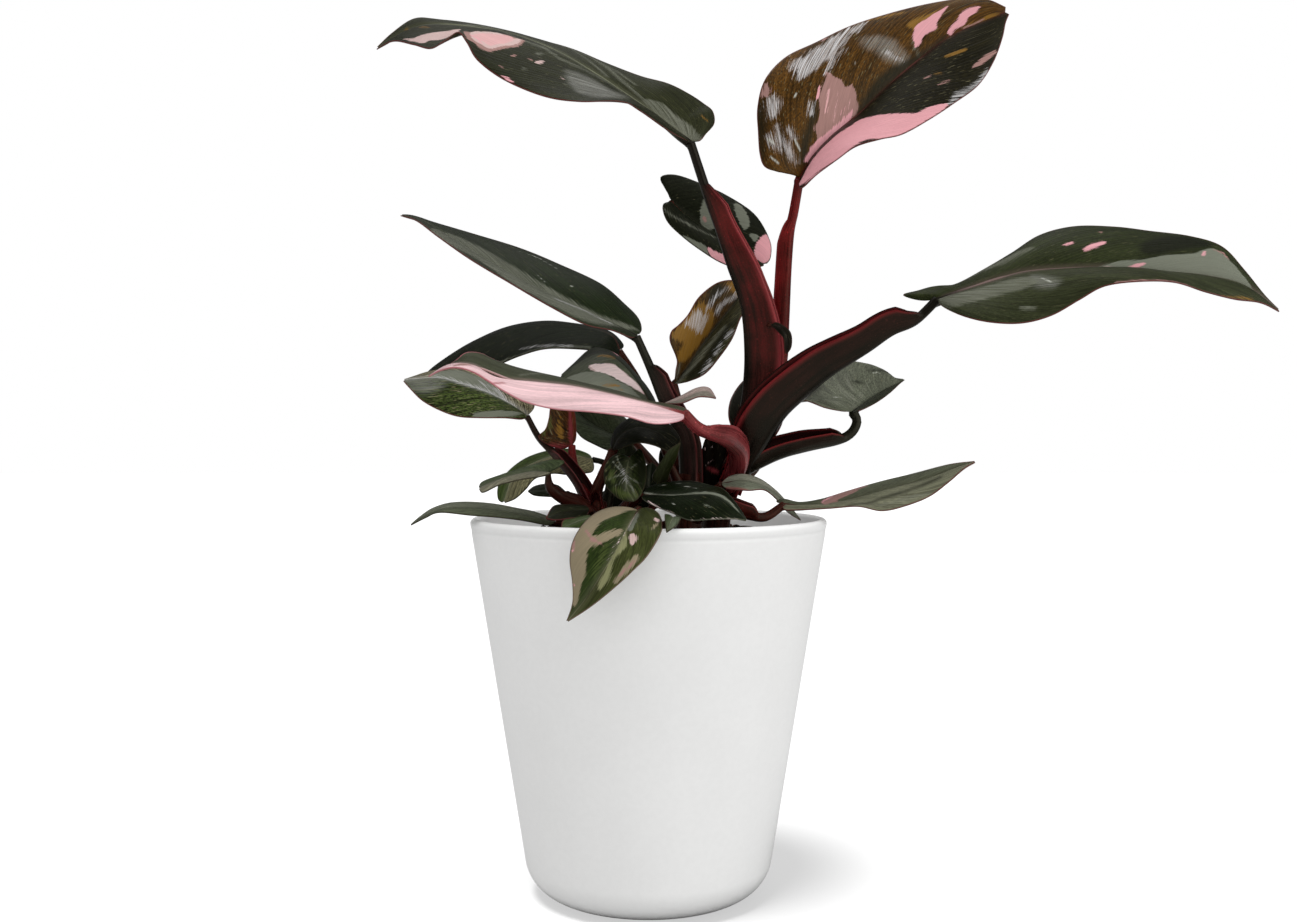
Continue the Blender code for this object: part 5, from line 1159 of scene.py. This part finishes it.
def outline_depth(points, outline):
    """How far inside an outline each point lies, in mm; outside it is negative."""
    curve = closed_curve(outline)
    nearest = np.full(len(points), FAR)
    inside = np.zeros(len(points), bool)
    for start, end in zip(curve, np.roll(curve, -1, axis=0)):
        distance, _ = segment_distance(points, start, end)
        nearest = np.minimum(nearest, distance)
        if start[1] == end[1]:
            continue
        crosses = (start[1] > points[:, 1]) != (end[1] > points[:, 1])
        reach = start[0] + (points[:, 1] - start[1]) * (end[0] - start[0]) / (end[1] - start[1])
        inside ^= crosses & (points[:, 0] < reach)
    return np.where(inside, nearest, -nearest)


def mark_depths(blade, flat, marks):
    """For each layer, how far inside its marks the points of a flattened blade lie."""
    spots, seen = blade_spots(blade)
    depths = {}
    for layer, half, pixels, *half_width in marks:
        corners, _ = blade.flat(*nearest_spots(spots, seen, half, pixels).T)
        depth = stroke_depth(flat, corners, *half_width) if half_width else outline_depth(flat, corners)
        depths[layer] = np.maximum(depths.get(layer, -MARK_REACH), np.clip(depth, -MARK_REACH, MARK_REACH))
    return depths


# Materials


def display(color):
    """A display colour, 0 to 255, as the light that a surface gives back."""
    parts = [part / 255 for part in color]
    return tuple(part / 12.92 if part <= 0.04045 else ((part + 0.055) / 1.055) ** 2.4 for part in parts)


class Look:
    """Builds a material from nodes."""

    def __init__(self, name, roughness, specular=0.5, tint=(1.0, 1.0, 1.0)):
        self.material = bpy.data.materials.new(name)
        self.material.use_nodes = True
        self.tree = self.material.node_tree
        self.shader = self.tree.nodes["Principled BSDF"]
        self.set(Roughness=roughness, Specular_IOR_Level=specular, Specular_Tint=tint)

    def add(self, kind, inputs, **settings):
        node = self.tree.nodes.new("ShaderNode" + kind)
        for name, value in settings.items():
            setattr(node, name, value)
        for key, value in inputs.items():
            self.give(node.inputs[key], value)
        return node

    def give(self, socket, value):
        if isinstance(value, bpy.types.NodeSocket):
            self.tree.links.new(value, socket)
        elif isinstance(value, tuple) and len(value) == 3 and socket.type == "RGBA":
            socket.default_value = (*value, 1)
        else:
            socket.default_value = value

    def set(self, **values):
        for name, value in values.items():
            self.give(self.shader.inputs[name.replace("_", " ")], value)

    def attribute(self, name, output="Vector"):
        return self.add("Attribute", {}, attribute_name=name).outputs[output]

    def on_object(self):
        return self.add("TexCoord", {}).outputs["Object"]

    def split(self, vector):
        return self.add("SeparateXYZ", {0: vector}).outputs

    def math(self, operation, first, second=0.0):
        return self.add("Math", {0: first, 1: second}, operation=operation).outputs[0]

    def times(self, first, second):
        return self.math("MULTIPLY", first, second)

    def plus(self, first, second):
        return self.math("ADD", first, second)

    def minus(self, first, second):
        return self.math("SUBTRACT", first, second)

    def gap(self, first, second):
        """How far apart two values are."""
        return self.math("ABSOLUTE", self.minus(first, second))

    def ramp(self, value, low, high, start=0.0, end=1.0):
        return self.add("MapRange", {"Value": value, "From Min": low, "From Max": high, "To Min": start,
                                     "To Max": end}, interpolation_type="SMOOTHSTEP").outputs[0]

    def noise(self, vector, scale=1.0, detail=2.0, roughness=0.5):
        return self.add("TexNoise", {"Vector": vector, "Scale": scale, "Detail": detail,
                                     "Roughness": roughness}).outputs["Fac"]

    def stretched_noise(self, vector, scales, detail, roughness):
        scaled = self.add("VectorMath", {0: vector, 1: scales}, operation="MULTIPLY").outputs[0]
        return self.noise(scaled, 1.0, detail, roughness)

    def mix(self, first, second, factor):
        """The first colour, or the second where the factor is 1. A colour may be a display colour."""
        node = self.add("Mix", {}, data_type="RGBA")
        for key, value in (("Factor", factor), (6, first), (7, second)):
            self.give(node.inputs[key], display(value) if isinstance(value, tuple) else value)
        return node.outputs[2]

    def tone(self, color, factor):
        """The colour made darker or lighter by a factor."""
        if isinstance(color, tuple):
            color = display(color)
        return self.add("VectorMath", {0: color, "Scale": factor}, operation="SCALE").outputs[0]

    def varied(self, color, source, dark, bright, span=NOISE_SPAN):
        """The colour times dark where the source is low, times bright where it is high."""
        return self.tone(color, self.ramp(source, *span, dark, bright))

    def line(self, distance, start, full, cover):
        """How much a line covers that starts and is full at the given distances."""
        return self.times(self.ramp(distance, start, full), cover)

    def bump(self, height, strength, distance):
        node = self.add("Bump", {"Height": height, "Strength": strength, "Distance": distance})
        self.give(self.shader.inputs["Normal"], node.outputs[0])


def marked(look, color, layers, streaks, fine, grain, threads):
    """The colour with the layers of marks over it, painted reflections, glare, highlights and shade among
    them.
    """
    moves = [(look.minus(source, 0.5), share) for source, share in zip((streaks, fine, grain), EDGE_MOVES)]
    for layer, (tint, softness, streaking, cover) in LAYERS.items():
        if layer not in layers:
            continue
        depth = look.attribute(layer, "Fac")
        for source, share in moves:
            depth = look.plus(depth, look.times(source, share * streaking))
        mask = look.times(look.ramp(depth, -softness, softness), cover)
        if layer in STREAKY:
            mask = look.times(mask, look.ramp(threads, *THREAD_SPAN, BETWEEN_THREADS, 1))
        color = look.mix(color, look.varied(tint, fine, *MARK_TONES, FINE_SPAN), mask)
    return color


def blade_look(name, left, right, rib, layers, margin=LEAF_RED, mottle=0.3, gloss=0.2, under=False):
    look = Look(name, UNDER_ROUGHNESS, gloss, GLOSS_TINT)
    veins = look.attribute("veins")
    from_rib, from_margin, side = look.split(look.attribute("lines"))
    streaks, fine, threads, blotches, grain, specks = (
        look.stretched_noise(veins, *settings) for settings in LEAF_NOISES)
    count = look.plus(look.times(look.split(veins)[0], VEINS_PER_MM), look.times(streaks, VEIN_WANDER))
    vein = look.times(look.ramp(look.gap(look.math("FRACT", count), 0.5), VEIN_HALF_WIDTH, 0.0),
                      look.ramp(from_margin, *VEINS_FADE))

    color = look.mix(right, left, look.ramp(side, -HALVES_MEET, HALVES_MEET))
    color = look.varied(color, streaks, 1 - mottle, 1 + mottle)
    color = look.varied(color, blotches, *BLOTCH_TONES)
    grained = GRAIN_BY_MOTTLE * mottle
    color = look.varied(color, grain, 1 - grained, 1 + grained, GRAIN_SPAN)
    color = look.mix(color, look.tone(color, VEIN_TONE), look.times(vein, mottle))
    more = SPECKS_BY_MOTTLE * mottle
    speck = look.ramp(specks, SPECKS_FROM - more, SPECKS_FULL - more)
    least, most = SPECK_COVER
    color = look.mix(color, SPECK, look.times(speck, least + (most - least) * mottle))
    # A painted reflection in the rib's colour, fading out a few mm to each side of the rib
    color = look.mix(color, rib, look.line(from_rib, *RIB_SHEEN))
    color = look.mix(color, rib, look.line(from_rib, *RIB_LINE))
    color = marked(look, color, layers, streaks, fine, grain, threads)
    color = look.mix(color, margin, look.line(from_margin, *MARGIN_LINE))
    if under:
        color = look.mix(color, LEAF_BACK, BACK_COVER)
    else:
        look.set(Roughness=look.ramp(streaks, *SHINE_SPAN, *LEAF_ROUGHNESS))
    look.set(Base_Color=color)
    relief = look.plus(look.times(streaks, STREAK_RELIEF), look.times(fine, FINE_RELIEF))
    look.bump(look.minus(relief, look.times(vein, VEIN_RELIEF * mottle)), *LEAF_BUMP)
    return look.material


def petiole_look(name, back, wings, inner, edge, far=None):
    """Dark along the back, redder on the wings and in the channel, brightest along the wings' edges. A rib
    under a blade fades to the colour `far` along its way."""
    look = Look(name, PETIOLE_ROUGHNESS[0], PETIOLE_GLOSS, GLOSS_TINT)
    around, along, opened = look.split(look.attribute("petiole"))
    place = look.on_object()
    lengthwise = look.add("CombineXYZ", {0: look.times(around, ROUND_SCALE),
                                         1: look.times(along, LENGTH_SCALE), 2: opened}).outputs[0]
    streaks = look.noise(lengthwise, *STREAK_NOISE)
    patches, grain, dots = (look.noise(place, *settings) for settings in PETIOLE_NOISES)
    outward = look.gap(around, BACK_MIDDLE)
    for source, share in zip((streaks, patches), WING_WANDER):
        outward = look.plus(outward, look.times(look.minus(source, 0.5), share))
    inside = look.times(look.ramp(around, *CHANNEL_STARTS), look.ramp(around, *CHANNEL_ENDS))
    to_edge = look.math("MINIMUM", look.math("PINGPONG", around, 0.5), look.gap(around, WING_EDGE))
    on_edge = look.times(look.ramp(to_edge, *EDGE_LINE), opened)

    color = look.mix(back, wings, look.times(look.ramp(outward, *WING_STARTS), opened))
    color = look.mix(color, inner, look.times(inside, opened))
    color = look.varied(color, streaks, *STREAK_TONES)
    color = look.varied(color, patches, *PATCH_TONES)
    color = look.varied(color, grain, *GRAIN_TONES, GRAIN_SPAN)
    color = look.mix(color, look.tone(color, DOT_TONE), look.ramp(dots, *DOT_SPAN))
    color = look.mix(color, edge, look.times(on_edge, look.ramp(streaks, *EDGE_SPAN, *EDGE_COVER)))
    if far:
        color = look.mix(color, far, look.ramp(along, *RIB_TURNS))
    look.set(Base_Color=color, Roughness=look.ramp(streaks, *SHINE_SPAN, *PETIOLE_ROUGHNESS))
    look.bump(look.plus(streaks, look.times(grain, GRAIN_RELIEF)), *PETIOLE_BUMP)
    return look.material


def pot_look():
    look = Look("white_glaze", GLAZE_ROUGHNESS[0])
    place = look.on_object()
    mottling, clouds, dimples = (look.noise(place, *settings) for settings in GLAZE_NOISES)
    color = look.varied(GLAZE, mottling, *MOTTLING_TONES)
    color = look.varied(color, clouds, *CLOUD_TONES)
    look.set(Base_Color=color, Roughness=look.ramp(mottling, *NOISE_SPAN, *GLAZE_ROUGHNESS))
    look.bump(look.plus(dimples, look.times(mottling, MOTTLING_RELIEF)), *GLAZE_BUMP)
    return look.material


def soil_look(name, tint):
    look = Look(name, SOIL_ROUGHNESS, SOIL_GLOSS)
    place = look.on_object()
    grains, clumps = (look.noise(place, *settings) for settings in SOIL_NOISES)
    color = look.mix(SOIL_DARK, tint, look.ramp(clumps, *CLUMP_SPAN))
    color = look.mix(color, SOIL_FLECK, look.times(look.ramp(grains, *FLECK_SPAN), FLECK_COVER))
    look.set(Base_Color=color)
    look.bump(grains, *SOIL_BUMP)
    return look.material


# Pieces


def finish_piece(piece, node):
    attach(piece, "root")
    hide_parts(node)
    return piece


def mesh_object(name, bm, materials):
    """A new object from a bmesh in millimetres."""
    bmesh.ops.scale(bm, vec=(MM, MM, MM), verts=bm.verts)
    mesh = bpy.data.meshes.new(name)
    bm.to_mesh(mesh)
    bm.free()
    mesh.shade_smooth()
    for made in materials:
        mesh.materials.append(made)
    piece = bpy.data.objects.new(name, mesh)
    bpy.context.scene.collection.objects.link(piece)
    return piece


def add_vectors(mesh, name, values):
    layer = mesh.attributes.new(name, "FLOAT_VECTOR", "POINT")
    layer.data.foreach_set("vector", np.ascontiguousarray(values, np.float32).ravel())


def add_values(mesh, name, values):
    layer = mesh.attributes.new(name, "FLOAT", "POINT")
    layer.data.foreach_set("value", np.ascontiguousarray(values, np.float32))


def profile(values, at):
    """A value that runs along a leaf: one number, or several spaced evenly from base to tip."""
    if not isinstance(values, tuple):
        return values
    place = at * (len(values) - 1)
    index = min(int(place), len(values) - 2)
    part = place - index
    part = part * part * (3 - 2 * part)
    return values[index] * (1 - part) + values[index + 1] * part


def carried_frames(curve, facing, at):
    """Normal and left of each curve point. The normal turns no more than the curve does, and looks as near
    to `facing` as it can at the share `at` of the curve."""
    curve = [Vector(point) for point in curve]
    along = []
    for index in range(len(curve)):
        before = curve[max(index - 1, 0)]
        after = curve[min(index + 1, len(curve) - 1)]
        along.append((after - before).normalized())
    normals = [Vector(facing)]
    for start, end in zip(along, along[1:]):
        normals.append(start.rotation_difference(end) @ normals[-1])
    middle = round(at * (len(curve) - 1))
    wanted = Vector(facing)
    wanted -= wanted.dot(along[middle]) * along[middle]
    carried = normals[middle] - normals[middle].dot(along[middle]) * along[middle]
    turn = carried.angle(wanted)
    if carried.cross(wanted).dot(along[middle]) < 0:
        turn = -turn
    frames = []
    for direction, normal in zip(along, normals):
        normal = Quaternion(direction, turn) @ normal
        normal = (normal - normal.dot(direction) * direction).normalized()
        frames.append((normal, normal.cross(direction)))
    return frames


def round_ring(center, up, side, radius, sides):
    turns = [math.tau * turn / sides for turn in range(sides)]
    return [Vector(center) + side * radius * math.cos(turn) + up * radius * math.sin(turn) for turn in turns]


def loft(name, rings, materials):
    """A closed piece through rings, with how far round and along each point lies and how open its ring
    is."""
    bm = bmesh.new()
    loops = []
    told = []
    for ring, along, opened in rings:
        verts = [bm.verts.new(point) for point in ring]
        told += [(index / len(ring), along, opened) for index in range(len(ring))]
        loops.append([bm.edges.new((a, b)) for a, b in zip(verts, verts[1:] + verts[:1])])
    for lower, upper in zip(loops, loops[1:]):
        bmesh.ops.bridge_loops(bm, edges=lower + upper)
    for loop in (loops[0], loops[-1]):
        bmesh.ops.contextual_create(bm, geom=loop)
    bmesh.ops.recalc_face_normals(bm, faces=bm.faces)
    piece = mesh_object(name, bm, materials)
    add_vectors(piece.data, "petiole", told)
    return piece


# Blades


def rib_radius(at_base, share):
    """The rib thins quickly behind the petiole, then evenly to the tip."""
    return at_base * (1 - NECK_TAPER * smooth_step(share, 0, NECK_END)) * (1 - TIP_TAPER * share)


def make_rib(name, blade, petiole, rib_color):
    """The thick rib on the underside, which carries on from the petiole and thins out to the tip."""
    shares = np.array(RIB_SHARES)
    at_base = PETIOLE_FLATNESS * profile(petiole["half"], 1)
    u = np.maximum(shares ** (1 / VEIN_FAN), FIRST_ROW)
    _, normals = blade.place(u, np.full(len(u), 1e-6))
    centers = at_share(blade.middle, shares) - normals * (RIB_SINK * rib_radius(at_base, shares))[:, None]
    base = blade.middle[0]
    back = np.array(petiole["path"][-1]) - base
    start = base + back / np.linalg.norm(back) * RIB_START
    curve, length = smooth_curve([start, *centers], RIB_ROWS)
    facing = Vector(curve[1] - curve[0]).orthogonal()
    rings = []
    for index, (up, side) in enumerate(carried_frames(curve, facing, 0)):
        share = index / RIB_ROWS
        ring = round_ring(curve[index], up, side, float(rib_radius(at_base, share)), RIB_SIDES)
        rings.append((ring, share * length, 0.0))
    skin = petiole_look(name + "_rib", *PETIOLE_COLORS.get(name, PETIOLE_DEFAULT), rib_color)
    finish_piece(loft(name + "_rib", rings, [skin]), name)


def make_blade(name, shape, look, marks, petiole):
    blade = Blade(**shape)
    make_rib(name, blade, petiole, look["rib"])
    reach = np.linalg.norm(blade.left - blade.right, axis=1).max()
    rows = max(LEAST_ROWS, round(blade.length / BLADE_STEP))
    columns = 2 * max(LEAST_COLUMNS, round(reach / BLADE_STEP / 2))
    bm = bmesh.new()
    bmesh.ops.create_grid(bm, x_segments=rows, y_segments=columns, size=0.5)
    raw = np.array([vert.co[:] for vert in bm.verts])
    u = FIRST_ROW + (LAST_ROW - FIRST_ROW) * (raw[:, 0] + 0.5)
    v = 2 * raw[:, 1]
    v[np.abs(v) < 1e-6] = 0
    points, normals = blade.place(u, v)
    flat, width = blade.flat(u, v)
    from_rib = np.abs(flat[:, 1])
    from_margin = width - from_rib
    dent = RIB_DEPTH * np.exp(-(from_rib / RIB_HALF_WIDTH) ** 2) * smooth_step(width, *RIB_DEEPENS)
    for vert, point in zip(bm.verts, points - normals * dent[:, None]):
        vert.co = point

    depths = mark_depths(blade, flat, marks)
    skins = [blade_look(name + "_upper", layers=depths, **look),
             blade_look(name + "_lower", layers=depths, under=True, **look)]
    piece = mesh_object(name + "_skin", bm, skins)
    along_veins = blade.length * (u ** VEIN_FAN - VEIN_LEAN * np.abs(v))
    halves = HALVES_APART * np.where(v > 0, 1, -1)
    add_vectors(piece.data, "veins", np.stack([along_veins, from_rib, halves], axis=1))
    add_vectors(piece.data, "lines", np.stack([from_rib, from_margin, flat[:, 1]], axis=1))
    for layer, depth in depths.items():
        add_values(piece.data, layer, depth)

    group = piece.vertex_groups.new(name="thickness")
    thin = 1 - smooth_step(from_margin, 0, EDGE_TAPER)
    for index, share in enumerate(1 - thin * (1 - EDGE_THICKNESS / BLADE_THICKNESS)):
        group.add([index], share, "REPLACE")
    skin = piece.modifiers.new("thickness", "SOLIDIFY")
    skin.thickness = BLADE_THICKNESS * MM
    skin.offset = 0
    skin.vertex_group = "thickness"
    skin.material_offset = 1
    skin.material_offset_rim = 1
    return finish_piece(piece, name)


# Petioles and stems


def petiole_section(half_width, wing, opened):
    points = []
    for x, y_width, y_wing, angle in CHANNEL:
        x *= half_width
        y = y_width * half_width + y_wing * wing
        free_x = half_width * math.cos(math.radians(angle))
        free_y = PETIOLE_FLATNESS * half_width * math.sin(math.radians(angle))
        points.append((free_x + (x - free_x) * opened, free_y + (y - free_y) * opened))
    return closed_curve(points)


def petiole_rings(path, half, base, wing=0, sheath=0, opens=(0, 0, 1)):
    """Rings of a petiole up to its blade's base, with how open each ring is."""
    curve, length = smooth_curve([*path, base], RIB_STEPS)
    frames = carried_frames(curve, opens, 0.5)
    rows = max(LEAST_PETIOLE_ROWS, round(length / PETIOLE_ROW))
    shares = [row / rows for row in range(rows)] + [1 - 0.6 / rows, 1 - 0.2 / rows, 1]
    if sheath:
        steps = {sheath - SHEATH_END * step / SHEATH_ROWS for step in range(SHEATH_ROWS + 1)}
        shares = sorted(set(shares) | steps)
    rings = []
    for share in shares:
        up, side = frames[min(round(share * RIB_STEPS), RIB_STEPS)]
        opened = min(1.0, max(0.0, (sheath - share) / SHEATH_END)) ** SHEATH_ROUNDING
        width = profile(half, share) * (END_SCALE if share == 1 else 1)
        section = petiole_section(width, profile(wing, share), opened)
        center = Vector(at_share(curve, np.array([share]))[0])
        rings.append(([center + side * x + up * y for x, y in section], share * length, opened))
    return rings


def stem_rings(path, half):
    curve, length = smooth_curve(path, STEM_STEPS)
    rings = []
    for index, (up, side) in enumerate(carried_frames(curve, (0, -1, 0), 0)):
        share = index / STEM_STEPS
        radius = half * (1 - STEM_TAPER * share ** 2) * (STEM_END if share == 1 else 1)
        rings.append((round_ring(curve[index], up, side, radius, STEM_SIDES), share * length, 0.0))
    return rings


def make_shoot(name, stem, half, petioles):
    stem_skin = petiole_look(name + "_stem", *PETIOLE_DEFAULT)
    finish_piece(loft(name + "_stem", stem_rings(stem, half), [stem_skin]), name)
    for blade, petiole in petioles.items():
        skin = petiole_look(blade + "_petiole", *PETIOLE_COLORS.get(blade, PETIOLE_DEFAULT))
        rings = petiole_rings(base=BLADES[blade]["rib"][0], **petiole)
        finish_piece(loft(blade + "_petiole", rings, [skin]), name)


# Pot and soil


def arc(center, radius, start, end, steps):
    """Points (radius from the axis, height) on an arc, from one angle to another."""
    points = []
    for step in range(steps + 1):
        angle = math.radians(start + (end - start) * step / steps)
        points.append((center[0] + radius * math.cos(angle), center[1] + radius * math.sin(angle)))
    return points


def wall_slope():
    return math.atan((RIM_RADIUS - FOOT_RADIUS) / POT_HEIGHT)


def outer_radius(height):
    return FOOT_RADIUS + math.tan(wall_slope()) * height


def floor_corner(inset, floor, rounding, steps):
    """The arc from a floor up to a wall `inset` inside the pot's outer one."""
    height = floor + rounding
    center = (outer_radius(height) - (inset + rounding) / math.cos(wall_slope()), height)
    return arc(center, rounding, -90, -math.degrees(wall_slope()), steps)


def turned(name, outline, sides, materials):
    """A closed piece turned round Z from (radius, height) points that start and end on the axis."""
    bm = bmesh.new()
    verts = [bm.verts.new((radius, 0, height)) for radius, height in outline]
    edges = [bm.edges.new(pair) for pair in zip(verts, verts[1:])]
    bmesh.ops.spin(bm, geom=verts + edges, cent=(0, 0, 0), axis=(0, 0, 1), dvec=(0, 0, 0),
                   angle=math.tau, steps=sides, use_merge=True)
    bmesh.ops.remove_doubles(bm, verts=bm.verts, dist=1e-4)
    bmesh.ops.recalc_face_normals(bm, faces=bm.faces)
    return mesh_object(name, bm, materials)


def make_pot():
    slope = math.degrees(wall_slope())
    lip = WALL / 2
    lip_height = POT_HEIGHT - lip
    lip_center = (outer_radius(lip_height) - lip / math.cos(wall_slope()), lip_height)
    outline = [(0, 0)]
    outline += floor_corner(0, 0, FOOT_ROUNDING, FOOT_STEPS)
    outline += [(outer_radius(height) - depth, height) for height, depth in WALL_ROWS]
    outline += arc(lip_center, lip, -slope, 180 - slope, LIP_STEPS)
    outline += floor_corner(WALL, FLOOR, INNER_ROUNDING, INNER_STEPS)[::-1]
    outline += [(0, FLOOR)]
    piece = turned("pot_glazed", outline, POT_SIDES, [pot_look()])
    return finish_piece(piece, "pot")


def soil_height(x, y):
    """Height of loose soil above its mean, in mm."""
    return sum(height * noise.noise(Vector((x, y, 0)) / length) for height, length in SOIL_WAVES)


def make_soil():
    inset = WALL + SOIL_GAP
    floor = FLOOR + SOIL_GAP
    edge = outer_radius(SOIL_TOP) - inset / math.cos(wall_slope())
    rings = round(edge / SOIL_STEP)
    outline = [(0, floor)]
    outline += floor_corner(inset, floor, INNER_ROUNDING, SOIL_CORNER_STEPS)
    outline += [(edge * (1 - ring / rings), SOIL_TOP) for ring in range(rings + 1)]
    piece = turned("soil_bed", outline, SOIL_SIDES, [soil_look("soil_dark", SOIL_BED)])
    for vert in piece.data.vertices:
        x, y, z = vert.co / MM
        if z > SOIL_TOP - 1:
            level = min(1, (edge - math.hypot(x, y)) / SOIL_EDGE + 0.1)
            vert.co.z += soil_height(x, y) * MM * level
    finish_piece(piece, "soil")

    rng = np.random.default_rng(CRUMB_SEED)
    smallest, largest = CRUMB_SIZES
    least, most = CRUMB_DENTS
    bm = bmesh.new()
    for _ in range(CRUMBS):
        radius = (edge - CRUMB_MARGIN) * math.sqrt(rng.random())
        turn = math.tau * rng.random()
        x, y = radius * math.cos(turn), radius * math.sin(turn)
        size = smallest + (largest - smallest) * rng.random() ** 2
        made = bmesh.ops.create_icosphere(bm, subdivisions=1, radius=size)
        for vert in made["verts"]:
            vert.co *= least + (most - least) * rng.random()
            vert.co.z *= CRUMB_FLATNESS
            vert.co += Vector((x, y, SOIL_TOP + soil_height(x, y) + CRUMB_RISE * size))
    crumbs = mesh_object("soil_crumbs", bm, [soil_look("soil_crumb", SOIL_CRUMB)])
    finish_piece(crumbs, "soil")


# Studio


def linked(name, data):
    made = bpy.data.objects.new(name, data)
    bpy.context.scene.collection.objects.link(made)
    return made


def area_light(name, place, target, size, power):
    light = bpy.data.lights.new(name, "AREA")
    light.shape = "RECTANGLE"
    light.size, light.size_y = size
    light.energy = power
    lamp = linked(name, light)
    lamp.location = place
    lamp.rotation_euler = (Vector(target) - Vector(place)).to_track_quat("-Z", "Y").to_euler()
    return lamp


def collection_of(name, pieces):
    made = bpy.data.collections.new(name)
    for piece in pieces:
        made.objects.link(piece)
    return made


def make_floor():
    """A floor that looks white and only darkens in the pot's own soft shadow."""
    bm = bmesh.new()
    bmesh.ops.create_grid(bm, x_segments=2, y_segments=2, size=FLOOR_HALF_SIZE)
    look = Look("pale_floor", 0.9, 0.0)
    seen = look.add("LightPath", {}).outputs["Is Camera Ray"]
    node = look.add("Mix", {"Factor": seen, 6: display(FLOOR_BOUNCE), 7: FLOOR_COLOR}, data_type="RGBA")
    look.set(Base_Color=node.outputs[2])
    look.set(Emission_Color=(1.0, 1.0, 1.0), Emission_Strength=look.times(seen, FLOOR_GLOW))
    floor = mesh_object("floor", bm, [look.material])
    return floor


def make_world():
    """Plain light: full for the camera, dimmer for matt surfaces and faint in gloss."""
    world = bpy.data.worlds.new("studio")
    world.use_nodes = True
    tree = world.node_tree
    rays = tree.nodes.new("ShaderNodeLightPath")
    background = tree.nodes["Background"]
    background.inputs["Color"].default_value = (1, 1, 1, 1)
    steps = []
    for ray, full in (("Is Diffuse Ray", WORLD_LIGHT), ("Is Camera Ray", 1.0)):
        step = tree.nodes.new("ShaderNodeMapRange")
        tree.links.new(rays.outputs[ray], step.inputs["Value"])
        step.inputs["To Max"].default_value = full
        steps.append(step)
    steps[0].inputs["To Min"].default_value = GLOSS_LIGHT
    tree.links.new(steps[0].outputs[0], steps[1].inputs["To Min"])
    tree.links.new(steps[1].outputs[0], background.inputs["Strength"])
    bpy.context.scene.world = world


def make_studio(pot):
    """The lamps light the plant, and the pot without the shade of its leaves. The sun lights the floor
    alone, where only the pot shades it."""
    make_world()
    floor = make_floor()
    pot_alone = collection_of("pot_alone", [pot])
    others = collection_of("not_lit_with_the_plant", [floor, pot])
    for link in others.collection_objects:
        link.light_linking.link_state = "EXCLUDE"
    for settings in LAMPS:
        area_light(*settings).light_linking.receiver_collection = others
    for settings in POT_LAMPS:
        lamp = area_light(*settings)
        lamp.light_linking.receiver_collection = pot_alone
        lamp.light_linking.blocker_collection = pot_alone
    light = bpy.data.lights.new("sun", "SUN")
    light.energy = SUN_POWER
    light.angle = math.radians(SUN_ANGLE)
    sun = linked("sun", light)
    sun.rotation_euler = Vector(SUN_SHIFT).to_track_quat("-Z", "Y").to_euler()
    sun.light_linking.receiver_collection = collection_of("sunlit_floor", [floor])
    sun.light_linking.blocker_collection = pot_alone


def make_camera():
    data = bpy.data.cameras.new("camera")
    data.sensor_width = SENSOR_WIDTH
    data.lens = SENSOR_WIDTH * FOCAL_LENGTH / PHOTO_WIDTH
    data.clip_start, data.clip_end = CLIP_RANGE
    camera = linked("camera", data)
    camera.location = Vector(CAMERA_PLACE) * MM
    camera.rotation_euler = (math.radians(90 - CAMERA_TILT), 0, 0)
    bpy.context.scene.camera = camera


scene = bpy.context.scene
scene.view_settings.view_transform = "Standard"
scene.view_settings.look = "None"

PETIOLES = {blade: petiole for shoot in SHOOTS.values() for blade, petiole in shoot["petioles"].items()}
for name, shape in BLADES.items():
    make_blade(name, shape, LOOKS[name], MARKS.get(name, []), PETIOLES[name])
for name, shoot in SHOOTS.items():
    make_shoot(name, **shoot)
pot = make_pot()
make_soil()
make_studio(pot)
make_camera()
